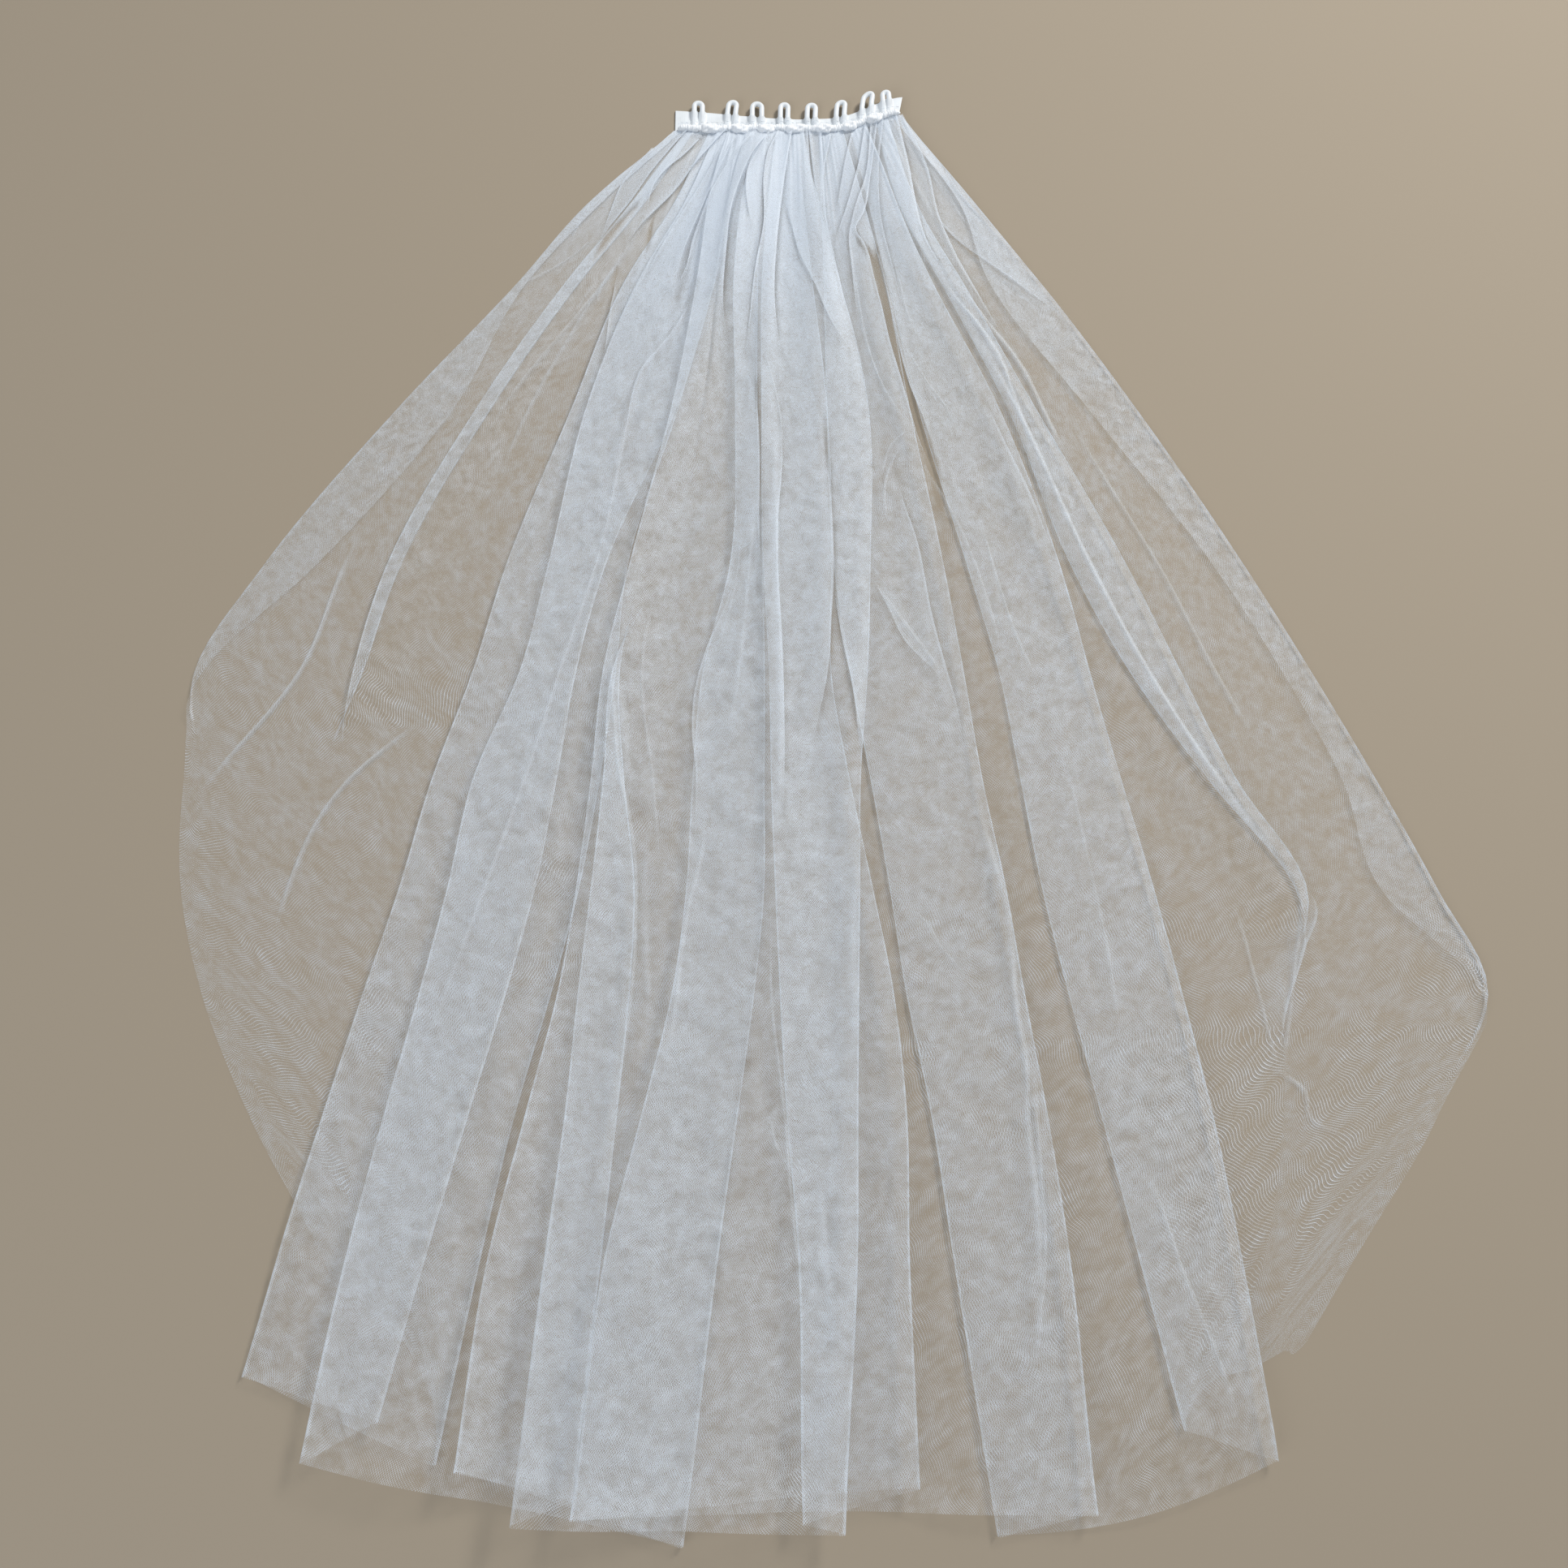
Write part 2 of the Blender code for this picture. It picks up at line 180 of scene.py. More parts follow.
# Least and most of a gather's step and half width, in pitches, and of its strength
GATHER_STEPS = (0.5, 1.9)
GATHER_HALF_WIDTHS = (0.3, 0.8)
GATHER_STRENGTHS = (0.3, 1.2)
# Most are short, and a few are up to this much longer
GATHER_SHORTEST = 18
GATHER_LONGER = 150
# Their lines fan out to twice the width over this length, and further towards the sides
FAN_LENGTH = 260
FAN_SIDES = 2.6e-6
FAN_LINES = np.linspace(-90, 90, 721)
# Finer gathers make the net this many times denser at the seam, down to this distance
SEAM_DENSITY = 1.6
SEAM_DENSITY_LENGTH = 150

# A turned fold looks as thick as this many more layers, a little unevenly
FOLD_EDGE_LAYERS = 7
FOLD_EDGE_UNEVEN = 0.25
FOLD_EDGE_WAVE = 0.03
FOLD_EDGE_SHIFT = 2.1

# Small pleats. Columns: which way the edge faces (1 right, -1 left), width of the pleat behind it, layers
# of net at its edge, share of the net's thickness left past the edge, then (down, x) along the edge
PLEATS = (
    (-1, 8, 1.8, 0.6, (12, -68), (33, -83), (50, -89), (66, -94)),
    (1, 8, 2.4, 0.35, (1, -50), (12, -59), (23, -67), (43, -79), (61, -91), (77, -98)),
    (1, 7, 2.8, 0.35, (7, -44), (17, -52), (25, -60), (34, -66), (53, -70)),
    (1, 9, 2.8, 0.25, (1, -30), (20, -44), (39, -57), (60, -74), (77, -83)),
    (-1, 7, 2.4, 0.25, (14, -32), (36, -42), (57, -53), (77, -63), (102, -74)),
    (-1, 10, 2.8, 0.3, (5, -17), (21, -26), (41, -36), (67, -45), (89, -50), (109, -61)),
    (1, 5, 1.8, 0.35, (9, -26), (31, -34), (54, -43), (74, -50), (100, -56)),
    (1, 10, 2.6, 0.3, (7, -9), (23, -17), (37, -22), (52, -26), (81, -29), (113, -30), (135, -27)),
    (-1, 6, 1.8, 0.5, (5, -8), (19, -13), (31, -18), (43, -19), (71, -15)),
    (-1, 8, 2.8, 0.3, (3, -3), (19, -8), (34, -10), (62, -10), (88, -14), (118, -17), (150, -20)),
    (1, 8, 2.8, 0.35, (2, 4), (34, 0), (76, -4), (99, -5), (125, -3), (150, 2)),
    (-1, 13, 1.6, 0.5, (45, 0), (62, 4), (79, 8), (96, 15), (119, 24), (143, 40)),
    (1, 12, 2.2, 0.5, (1, 12), (31, 14), (53, 19), (79, 25), (102, 29), (127, 36), (150, 41)),
    (1, 11, 3, 0.7, (1, 19), (30, 20), (60, 22), (90, 29)),
    (-1, 8, 2.4, 0.7, (1, 13), (25, 15), (50, 18), (80, 24)),
    (1, 6, 2.2, 0.5, (4, 24), (29, 20), (41, 19), (52, 19), (67, 22)),
    (-1, 5, 2, 0.5, (5, 35), (19, 32), (31, 30), (55, 26)),
    (-1, 5, 2.2, 0.5, (2, 42), (26, 38), (49, 32), (69, 26), (79, 25)),
    (-1, 4, 2, 0.5, (2, 45), (31, 42), (55, 35), (67, 33), (81, 34), (106, 36), (127, 37)),
    (1, 5, 2.4, 0.6, (2, 48), (31, 44), (54, 40), (63, 36), (71, 40), (92, 45), (129, 53)),
    (1, 4, 1.8, 0.5, (2, 51), (31, 48), (57, 49), (81, 54), (113, 61)),
    (1, 12, 3.4, 0.35, (1, 58), (26, 64), (53, 68), (68, 72), (83, 80), (95, 90)),
    (1, 9, 2.2, 0.6, (1, 61), (26, 73), (53, 79), (74, 87), (97, 98), (131, 115)),
    (-1, 10, 1.4, 0.5, (41, 77), (54, 79), (71, 94), (90, 116), (109, 138), (117, 147)),
    (1, 7, 1.6, 0.5, (25, 81), (43, 91), (62, 108)),
    (1, 8, 2.4, 0.1, (83, 43), (106, 48), (127, 52), (147, 57), (174, 64), (200, 74)),
    (-1, 7, 1.8, 0.1, (76, 47), (99, 52), (127, 57), (149, 62), (169, 69), (195, 76)),
    (-1, 5, 1.6, 0.35, (83, -84), (113, -87), (125, -88), (140, -90)),
    (-1, 7, 1.4, 0.35, (95, -43), (122, -55), (143, -70), (169, -76), (195, -79)),
    (1, 9, 1.6, 0.35, (149, -14), (189, -12), (223, -12), (248, -11), (262, -10)),
    (1, 8, 2.2, 0.7, (158, -4), (189, -1), (223, -3), (248, -3), (288, -1), (328, 0), (351, 0),
     (374, -1), (395, -4)),
    (-1, 9, 1.2, 0.7, (243, -21), (266, -27), (288, -36), (308, -41), (328, -42), (347, -40),
     (370, -40), (395, -40)),
    (1, 11, 1.5, 0.3, (180, 20), (210, 22), (256, 23), (272, 22), (300, 20), (316, 17), (330, 14),
     (351, 13)),
    (-1, 8, 1.4, 0.3, (256, 23), (288, 28), (308, 32), (328, 34), (347, 35)),
    (1, 8, 1.5, 0.6, (191, 53), (210, 57), (231, 63), (272, 70), (294, 75), (320, 81), (347, 83)),
    (-1, 14, 1, 0.6, (250, 42), (267, 50), (284, 58), (297, 70), (309, 77)),
    (1, 9, 1.4, 0.7, (158, 98), (184, 108), (206, 117), (227, 124), (243, 129)),
    (1, 20, 1.3, 0.9, (398, 232), (406, 239), (428, 233), (458, 222), (482, 218)),
)
PLEAT_HEIGHT = 0.9
PLEAT_NOSE = 0.35
PLEAT_BODY_STEPS = 8
# Shares of its width at which a pleat starts and by which it narrows, and shares of its length
PLEAT_START_WIDTH = 0.45
PLEAT_OPENED_AT = 0.4
PLEAT_NARROWS_BY = 0.6
PLEAT_NARROWS_FROM = 0.5
PLEAT_FADES_FROM = 0.6
# One that starts further down than this comes up over this share of its length
PLEAT_OPENS_DOWN = 15
PLEAT_COMES_UP_OVER = 0.25
# Its nose looks this many times thicker, and is tucked in under it by this many noses
PLEAT_NOSE_LAYERS = 1.5
PLEAT_TUCK = 3
PLEAT_TUCK_LAYERS = 0.3
# Small pleats and creases thin out towards their flat sides by this power
THINNING = 1.5
# The net is thinner over this width past a pleat's edge, and over so many times less behind it
GAP_WIDTH = 3.2
GAP_SHARPNESS = 3
GAP_CLOSES_OVER = 0.3
# Gaps and slits end within one part in this many of their length
GAP_ENDS = 12
# Slits between pleats where the table shows. Columns: share of the net's thickness left, then
# (down, left x, right x) along it
SLITS = (
    (0.15, (45, -75.7, -73.6), (53, -82.9, -79.2), (62, -90.9, -85.1), (71, -94.7, -91.2),
     (77, -96.6, -95.8)),
    (0.3, (52, -66.8, -65.8), (62, -69.7, -67), (70, -69.9, -67.7), (75, -70, -68.4)),
    (0.5, (44, -37.2, -35.6), (55, -42.9, -39.6), (72, -48.8, -45.5), (88, -52.6, -47.7),
     (104, -55.6, -52.7)),
    (0.1, (63, 35.8, 37), (70, 36.9, 41), (79, 42.8, 47.4), (94, 46.4, 50.5), (106, 48.6, 52.9),
     (120, 50, 55.5), (131, 52.3, 57.5), (143, 55.7, 60.9), (156, 59, 64.4), (168, 61.2, 67.9),
     (180, 64.8, 72), (193, 69.7, 75.6), (212, 72, 77.4)),
)
SLIT_SOFTNESS = 1.2

# Creases and thin folds. Columns: half width, height, layers of net in it, then (down, x) along it
CREASES = (
    (1.6, 1.8, 3, (225, -204), (245, -211), (298, -228), (350, -265), (359, -271)),
    (1.7, 1.8, 2.6, (316, -164), (350, -201), (402, -225), (421, -229)),
    (1.5, 1.4, 1.6, (131, -71), (160, -75), (245, -89), (298, -104), (350, -118), (402, -134),
     (446, -148), (496, -164)),
    (1.4, 1.3, 1.5, (19, -44), (45, -63), (90, -90), (160, -137), (187, -151)),
    (1.8, 2, 1.5, (402, 233), (446, 226), (482, 219)),
    (1.8, 1.4, 1.3, (250, 40), (302, 76)),
    (1.5, 1.6, 1.6, (475, 109), (500, 109), (560, 110), (610, 103)),
    (1.7, 1.6, 1.5, (517, 153), (545, 162), (560, 166), (610, 183), (629, 187)),
    (2.2, 1.2, 1.5, (150, -5), (220, -4), (300, -2), (350, -2), (395, -5)),
    (0.9, 0.9, 1.4, (60, -93), (76, -109), (91, -131)),
    (1, 0.9, 1.6, (79, -83), (88, -89), (97, -93), (104, -93)),
    (0.9, 0.7, 1, (92, -95), (100, -100), (111, -106)),
    (0.9, 0.7, 1, (49, -101), (58, -105), (70, -109)),
    (1, 0.8, 1.2, (78, -66), (90, -70), (99, -74), (108, -78)),
    (2.4, 0.9, 1.4, (108, -52), (131, -64), (147, -71), (169, -76), (200, -82)),
    (0.9, 0.9, 1.8, (128, -12), (149, -6), (169, -2), (190, -1)),
    (0.9, 0.9, 1.8, (81, 34), (102, 37), (122, 40), (138, 44), (154, 50), (165, 56), (173, 60)),
    (0.9, 0.9, 1.6, (172, 60), (176, 58), (181, 53), (198, 47)),
    (0.8, 0.7, 1.3, (78, 54), (92, 58), (104, 60), (121, 65)),
    (0.9, 0.8, 1.4, (124, 57), (132, 62), (147, 70), (159, 78), (173, 84)),
    (2, 1.4, 2.8, (84, 82), (105, 95), (123, 109), (136, 117), (160, 127), (190, 139)),
    (1.8, 1.2, 2.6, (80, 75), (100, 85), (114, 95), (131, 105), (160, 114), (190, 124)),
    (0.9, 0.8, 1.3, (22, 80), (45, 93), (54, 99), (68, 113)),
    (1.6, 1.2, 1.4, (160, 137), (200, 157), (245, 180), (298, 203), (340, 224)),
    (1.3, 1, 1.2, (180, 60), (220, 82), (262, 96), (300, 104)),
    (1.4, 1, 1.2, (200, -12), (240, -16), (290, -20), (350, -28)),
    (1.2, 1, 1.1, (250, -60), (300, -66), (350, -60), (400, -55)),
    (1.3, 1, 1.2, (330, 128), (380, 136), (430, 144), (480, 148)),
    (1.5, 1.4, 2, (264, -83), (300, -80), (320, -78), (347, -75), (370, -70), (389, -67), (415, -66),
     (433, -66), (462, -68), (490, -71), (517, -73)),
    (3.2, 0.8, 1.6, (302, -78), (320, -74), (340, -72), (355, -71)),
    (1.5, 1.2, 1.5, (363, -36), (385, -37), (408, -42), (429, -45), (451, -47), (476, -50)),
    (2.6, 1, 1.3, (370, 31), (396, 32), (422, 30), (458, 31), (486, 31)),
    (2.2, 1.6, 1.8, (340, 83), (366, 89), (387, 94), (408, 99), (433, 101), (455, 102), (476, 105),
     (504, 105), (531, 107), (554, 108), (577, 107), (599, 105)),
    (1.3, 0.8, 0.9, (406, 50), (414, 61), (428, 70), (441, 81)),
    (1, 0.9, 1.6, (404, -5), (433, -6), (458, -5), (483, -2), (510, 1), (524, 2), (554, 5), (577, 7),
     (598, 9)),
    (1, 0.8, 1.5, (502, -6), (515, -3), (524, 2)),
    (2.4, 0.9, 1, (521, 15), (544, 16), (567, 18), (593, 22)),
    (1.1, 0.9, 1.6, (176, 61), (187, 54), (201, 49), (223, 49)),
    (1, 0.8, 1.2, (227, -20), (256, -23), (278, -28), (292, -33)),
    (2, 0.8, 0.9, (370, -61), (404, -62), (440, -60), (472, -57)),
    (2, 1.4, 3.2, (110, 90), (160, 113), (245, 146), (298, 170), (350, 199), (395, 229)),
    (1.4, 1, 1.6, (70, -79), (110, -101), (160, -125), (200, -140)),
    (1.2, 0.8, 1.4, (405, 203), (440, 210), (469, 215), (484, 218)),
    (1.6, 0.9, 1.3, (478, 212), (488, 226), (507, 237), (513, 255)),
    (1.2, 1, 1.4, (215, 93), (255, 102), (288, 112), (312, 123)),
)
CREASE_ENDS = 0.25
CREASE_POINTS = 11
# Small folds drop onto the net from this height in metres and stop at this gap
DROP_FROM = 0.2
FOLD_CLEARANCE = 0.3
ROUTE_STEP = 2.5
ROUTE_LEAST = 8
# The net in a small fold is gathered this much, and its mesh starts at another place in each
FOLD_GATHERED = 1.6
FOLD_PHASE = 13.7
# The net climbs over the tape's edge on this length, and the roll presses its layers to this share
TAPE_CLIMB = 0.9
TAPE_CLIMB_LENGTH = 15
ROLL_PRESS = 0.35
ROLL_PRESS_LENGTH = 18

# Roots of the loops' legs under the tape: distance from the seam, height, half thickness
LEG_ROOT = 1.7
LEG_LOW = 0.9
LEG_THIN = 0.5
LEG_STEPS = 15
BEND_STEPS = 25
CORD_SIDES = 20
# Humps of the tape over the legs: height, more at the far edge, and form in cord radii
LEG_HUMP = 0.5
LEG_HUMP_AT_EDGE = 2.5
HUMP_FLAT = 0.5
HUMP_SLOPE = 1.1
# Waves of the tape. Columns: height, radians for each millimetre along it, radians across it
TAPE_WAVES = ((0.09, 0.37, 2), (0.054, 0.91, -1.5))
TAPE_END_SLANT = 2.5
TAPE_COLUMNS = 300
# Shares of the way to the far edge, over the top and back along the underside
TAPE_TOP = (0, 0.02, *np.linspace(0.07, 0.93, 13), 0.97, 0.99, 1)
TAPE_UNDERSIDE = (0.985, 0.015)
TAPE_EDGE_HEIGHT = 0.4
TAPE_EDGE_POWER = 14
# The net's cut edge on the tape: gaps to the tape's ends, where it starts, and its height there
EDGE_LEFT_GAP = 1.5
EDGE_RIGHT_GAP = 8
EDGE_STARTS = 0.6
EDGE_LIFT = 0.35
# Its scallops: least height, then height and radians a millimetre of the others
SCALLOP_LEAST = 1.2
SCALLOPS = (1.5, 0.21)
SMALL_SCALLOPS = (0.3, 1.7)
SCALLOP_UNEVEN = (0.5, 0.5)
# It stands off the tape halfway, and ripples
EDGE_STANDS_OFF = 0.5
EDGE_RIPPLE = (0.15, 1.1, 3)
EDGE_COLUMNS = 260
EDGE_ROWS = 8
EDGE_GATHERED = 3
# Its layers at the seam, near the cut and along the cut
EDGE_LAYERS = (1.2, 0.84, 2.5)

# Roll: half thickness between its beads and at them, and the knots between the beads
ROLL_THIN = 1.35
ROLL_FAT = 2.3
ROLL_COLUMNS = 520
ROLL_SIDES = 28
KNOT_PITCH = 2.3
KNOT_SIZE = 0.3
KNOT_ROUNDNESS = 0.7
# Unevenness of the knots' places and of the roll's way: amount, and radians a millimetre
KNOT_WANDER = (0.8, 0.7)
ROLL_WANDER = (0.3, 0.53)
BEAD_FLAT = 0.5
BEAD_DOWN = 0.7
# Shares of its half thickness by which it stands over the tape and to which its ends taper
ROLL_REST = 0.7
ROLL_END = 0.35
ROLL_END_TAPER = 0.3
# Folds along the roll. Columns: depth, how many round it, radians of turn for each millimetre
ROLL_FOLDS = ((0.07, 4, 0.9), (0.05, 7, -1.7))
# Thread wrapped round it. Columns: depth, pitch, turns round it
ROLL_WRAPS = ((0.09, 1.15, 1), (0.05, 0.8, -2))
# Share of the folds left between beads, and share of the wraps lost at them
ROLL_FOLDS_LEFT = 0.5
ROLL_WRAPS_LOST = 0.8

# Sewing thread: stitches slanting over the roll, and a wavy row along the tape
THREAD_RADIUS = 0.14
THREAD_SIDES = 6
STITCH_PITCH = 2.6
STITCH_ENDS = 3
STITCH_SLANT = 1.3
STITCH_ANGLES = np.radians(np.linspace(-20, 200, 14))
STITCH_LIFT = 1.05
STITCH_LENGTH = 1.5
STITCH_SHARES = np.linspace(0, 1, 6)
STITCH_HUMP = 0.12
STITCH_ROW = 4.1
STITCH_ROW_WAVE = (0.15, 0.8)
# Beads fatter than this share have no stitches
STITCHED_BEAD = 0.6

# Colours, and the pitch and depth of ribs in millimetres
NET_COLOUR = (0.80, 0.87, 0.95)
SATIN_COLOUR = (0.78, 0.82, 0.85)
SATIN_RIBS = (0.35, 0.03)
GATHERED_COLOUR = (0.90, 0.93, 0.96)
GATHERED_RIBS = (0.5, 0.08)
SPOT_SHADE = 0.93
SPOTS_PER_METRE = 220
FLOOR_COLOUR = (0.33, 0.277, 0.208)
SKY_COLOUR = (0.88, 0.93, 1)

# Stage, in metres. Columns of the lights: name, place, size, power in watts, colour
FLOOR_SIZE = 8
SKY_STRENGTH = 0.38
LIGHTS = (
    ("key_light", (1.1, 1.3, 1.5), 0.5, 42, (1, 0.97, 0.93)),
    ("fill_light", (-1.1, -1.2, 1.3), 1.4, 15, (0.93, 0.96, 1)),
)


def ease(value, start=0, end=1):
    """Ease from 0 to 1 as value goes from start to end."""
    t = np.clip((value - start) / (end - start), 0, 1)
    return t * t * (3 - 2 * t)


def smooth_line(points, at):
    """Read a smooth cubic curve through (place, value) points."""
    places, values = np.array(list(points), float).T
    slopes = np.gradient(values, places)
    i = np.clip(np.searchsorted(places, at, side="right") - 1, 0, len(places) - 2)
    step = places[i + 1] - places[i]
    t = (at - places[i]) / step
    start, end = values[i], values[i + 1]
    rise_in, rise_out = slopes[i] * step, slopes[i + 1] * step
    curve = (2 * t**3 - 3 * t**2 + 1) * start + (t**3 - 2 * t**2 + t) * rise_in
    return curve + (3 * t**2 - 2 * t**3) * end + (t**3 - t**2) * rise_out


# Fold lines and the order in which the lengths of cloth between them are laid
NAMES = list(FOLDS)
HEMS = np.array([FOLDS[name][0] for name in NAMES], float)
LENGTHS = len(NAMES) - 1


def laying_order():
    """Rank of each length of cloth: sides first, outside to middle, and the top last."""
    top = NAMES.index(TOP_LENGTH_STARTS)
    ranks = [k if k < top else 2 * LENGTHS - k for k in range(LENGTHS)]
    ranks[top] = 3 * LENGTHS
    ranks[0], ranks[1] = ranks[1], ranks[0]
    ranks[-1], ranks[-2] = ranks[-2], ranks[-1]
    return ranks


RANKS = laying_order()


def fold_places(down):
    """X of every fold line, a row each, at some distances down."""
    return np.array([smooth_line(zip(DOWN, FOLDS[name][1:]), np.maximum(down, 0)) for name in NAMES])


def at_distance(table, down):
    """Read a table of values by distance down."""
    return smooth_line(table.items(), np.maximum(down, 0))


def folded(x, turn):
    """1 where the cloth turns back at a fold line, less as its pleat opens flat."""
    heading = 1 if turn % 2 == 0 else -1
    overlap = np.minimum(heading * (x[turn] - x[turn - 1]), heading * (x[turn] - x[turn + 1]))
    return ease(1 + overlap / FOLD_FADE)


def height(length, place, down, x):
    """Height of one length of cloth over the lengths laid before it."""
    rise = at_distance(LAYER_RISE, down)
    ramp = at_distance(RAMP_WIDTH, down)
    covers = []
    for other, rank in enumerate(RANKS):
        low, high = np.minimum(x[other], x[other + 1]), np.maximum(x[other], x[other + 1])
        outside = np.maximum(np.maximum(low - place, place - high), 0)
        cover = 1 - ease((outside - NOSE_PER_RISE * rise) / ramp)
        covers.append(cover if rank < RANKS[length] else np.full_like(place, float(other == length)))
    level = sum(covers) - 1
    for turn in range(1, LENGTHS):
        level = level - (1 - folded(x, turn)) * np.minimum(covers[turn - 1], covers[turn])
    return NET_BASE + rise * level


def down_at(row, hem):
    """Distance down of a row where the hem lies at a given distance."""
    if row <= ROWS_LEVEL_TO:
        return np.full_like(hem, row)
    return ROWS_LEVEL_TO + (row - ROWS_LEVEL_TO) * (hem - ROWS_LEVEL_TO) / (FULL_HEM - ROWS_LEVEL_TO)


def nose(x, turn, towards, rise):
    """X where the cloth's flat part meets the nose of a fold."""
    reach = NOSE_PER_RISE * rise
    return x[turn] + np.clip((x[towards] - x[turn]) / 2, -reach, reach)


def standing_lean(length, share, x):
    """Extra height, in layer rises, where a narrowing pleat or strip stands up."""
    standing = 1 - ease(np.abs(x[length + 1] - x[length]) / STANDING_WIDTH)
    if length == 0:
        return FREE_STAND * (1 - share) * standing * folded(x, 1)
    if length == LENGTHS - 1:
        return FREE_STAND * share * standing * folded(x, length)
    climb = PLEAT_STAND if RANKS[length + 1] > RANKS[length - 1] else -PLEAT_STAND
    return climb * (share - 0.5) * standing * folded(x, length)


# Columns of points in each length of cloth, from its largest width
WIDEST = np.abs(np.diff(fold_places(np.array(DOWN, float)), axis=0)).max(axis=1)
COLUMNS = [max(LEAST_COLUMNS, math.ceil(width / COLUMN_PITCH)) for width in WIDEST]


def length_points(length, row):
    """Points (x, down, z, 0) of one length of cloth between its noses."""
    share = np.linspace(0, 1, COLUMNS[length] + 1)
    bulge = HEM_BULGES.get(NAMES[length], 0) * 4 * share * (1 - share)
    down = down_at(row, HEMS[length] * (1 - share) + HEMS[length + 1] * share + bulge)
    x = fold_places(down)
    rise = at_distance(LAYER_RISE, down)
    start = nose(x, length, length + 1, rise) if length > 0 else x[length]
    end = nose(x, length + 1, length, rise) if length + 1 < LENGTHS else x[length + 1]
    place = start * (1 - share) + end * share
    z = height(length, place, down, x) + rise * standing_lean(length, share, x)
    return np.stack([place, down, z, np.zeros_like(z)], axis=1)


def nose_points(turn, row, before, after):
    """Points (x, down, z, share turned back) round a fold to the next length of cloth."""
    down = down_at(row, HEMS[turn:turn + 1])
    x = fold_places(down)
    low = height(turn - 1, x[turn], down, x)
    high = height(turn, x[turn], down, x)
    tip = np.array([x[turn][0], down[0], (low[0] + high[0]) / 2, 0])
    middle, half = (before + after) / 2, (after - before) / 2
    angles = np.linspace(-math.pi / 2, math.pi / 2, NOSE_STEPS + 1)[1:-1]
    points = np.array([middle + (tip - middle) * math.cos(a) + half * math.sin(a) for a in angles])
    wave = math.sin(down[0] * FOLD_EDGE_WAVE + FOLD_EDGE_SHIFT * turn)
    uneven = 1 - FOLD_EDGE_UNEVEN + FOLD_EDGE_UNEVEN * wave
    points[:, 3] = folded(x, turn)[0] * uneven * np.cos(angles) ** 2
    return points


def net_section(row):
    """Points (x, down, z, share turned back) of one row of the net."""
    lengths = [length_points(length, row) for length in range(LENGTHS)]
    points = [lengths[0]]
    for turn in range(1, LENGTHS):
        points.append(nose_points(turn, row, lengths[turn - 1][-1], lengths[turn][0]))
        points.append(lengths[turn])
    return np.concatenate(points)


def gather_at(x, down):
    """X at the seam of the gather's line through each place of one row."""
    opened = np.clip(float(np.mean(down)), 0, FAN_LENGTH)
    fanned = FAN_LINES * (1 + opened / FAN_LENGTH) + FAN_LINES**3 * FAN_SIDES * opened
    return np.interp(x, fanned, FAN_LINES)


def make_gathers():
    """Fine gathers: x and half width at the seam, strength, length."""
    dice = np.random.default_rng(SEED)
    gathers = []
    x = -GATHER_SPREAD_X
    while x < GATHER_SPREAD_X:
        x += GATHER_PITCH * dice.uniform(*GATHER_STEPS)
        reach = GATHER_SHORTEST + GATHER_LONGER * dice.random() ** 3
        half = GATHER_PITCH * dice.uniform(*GATHER_HALF_WIDTHS)
        gathers.append((x, half, dice.uniform(*GATHER_STRENGTHS), reach))
    return gathers


GATHERS = make_gathers()


def gather_shape(x, down):
    """How far the fine gathers raise places of one row, from 0 to about 1."""
    lines = gather_at(x, down)
    raised = np.zeros_like(x)
    for middle, half, strength, reach in GATHERS:
        fade = 1 - ease(np.maximum(down, 0) / reach)
        raised += strength * fade * (1 - ease(np.abs(lines - middle) / half))
    return raised


def route_x(route, down):
    """X of a line at some distances down, and how far along it they are, from 0 to 1."""
    starts, ends = route[0][0], route[-1][0]
    return smooth_line(route, np.clip(down, starts, ends)), (down - starts) / (ends - starts)


def gap_share(x, down):
    """Share of the net's thickness left past small pleats and in slits, over one row."""
    left = np.ones_like(x)
    for facing, _, _, gap, *route in PLEATS:
        edge, along = route_x(route, down)
        past = facing * (x - edge) / GAP_WIDTH
        open_side = 1 - ease(np.where(past > 0, past, -GAP_SHARPNESS * past))
        here = ease(1 + GAP_ENDS * along) * ease((1 - along) / GAP_CLOSES_OVER)
        left = np.minimum(left, 1 - (1 - gap) * open_side * here)
    for share, *line in SLITS:
        downs, lefts, rights = np.array(line).T
        from_left = x - np.interp(down, downs, lefts)
        from_right = np.interp(down, downs, rights) - x
        sides = [ease(0.5 + inside / SLIT_SOFTNESS) for inside in (from_left, from_right)]
        along = (down - downs[0]) / (downs[-1] - downs[0])
        ends = ease(1 + GAP_ENDS * along) * ease(1 + GAP_ENDS * (1 - along))
        left = np.minimum(left, 1 - (1 - share) * sides[0] * sides[1] * ends)
    return left


def world(x, down, z):
    """Places on the veil in the frame's metres, with the right end's twist."""
    turned = ease((x - TWIST_STARTS_X) / TWIST_WIDTH)
    turned = turned * (1 - np.clip(down / TWIST_FADES_AT, 0, 1)) ** 2
    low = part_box("tape")[0]
    right = low.x + (x - TAPE_LEFT_X) * MM
    far = low.y + (TAPE_NEAR_EDGE + TWIST_BACK * turned - down) * MM
    return np.stack([right, far, (z + TWIST_LIFT * turned) * MM], axis=-1)


def grid_faces(grids):
    """Faces between the points of open sheets, each an array of rows by columns."""
    faces, first = [], 0
    for points in grids:
        rows, columns = points.shape[:2]
        corner = first + np.arange((rows - 1) * columns).reshape(rows - 1, columns)[:, :-1].ravel()
        faces.append(np.stack([corner, corner + columns, corner + columns + 1, corner + 1], axis=1))
        first += rows * columns
    return np.concatenate(faces)


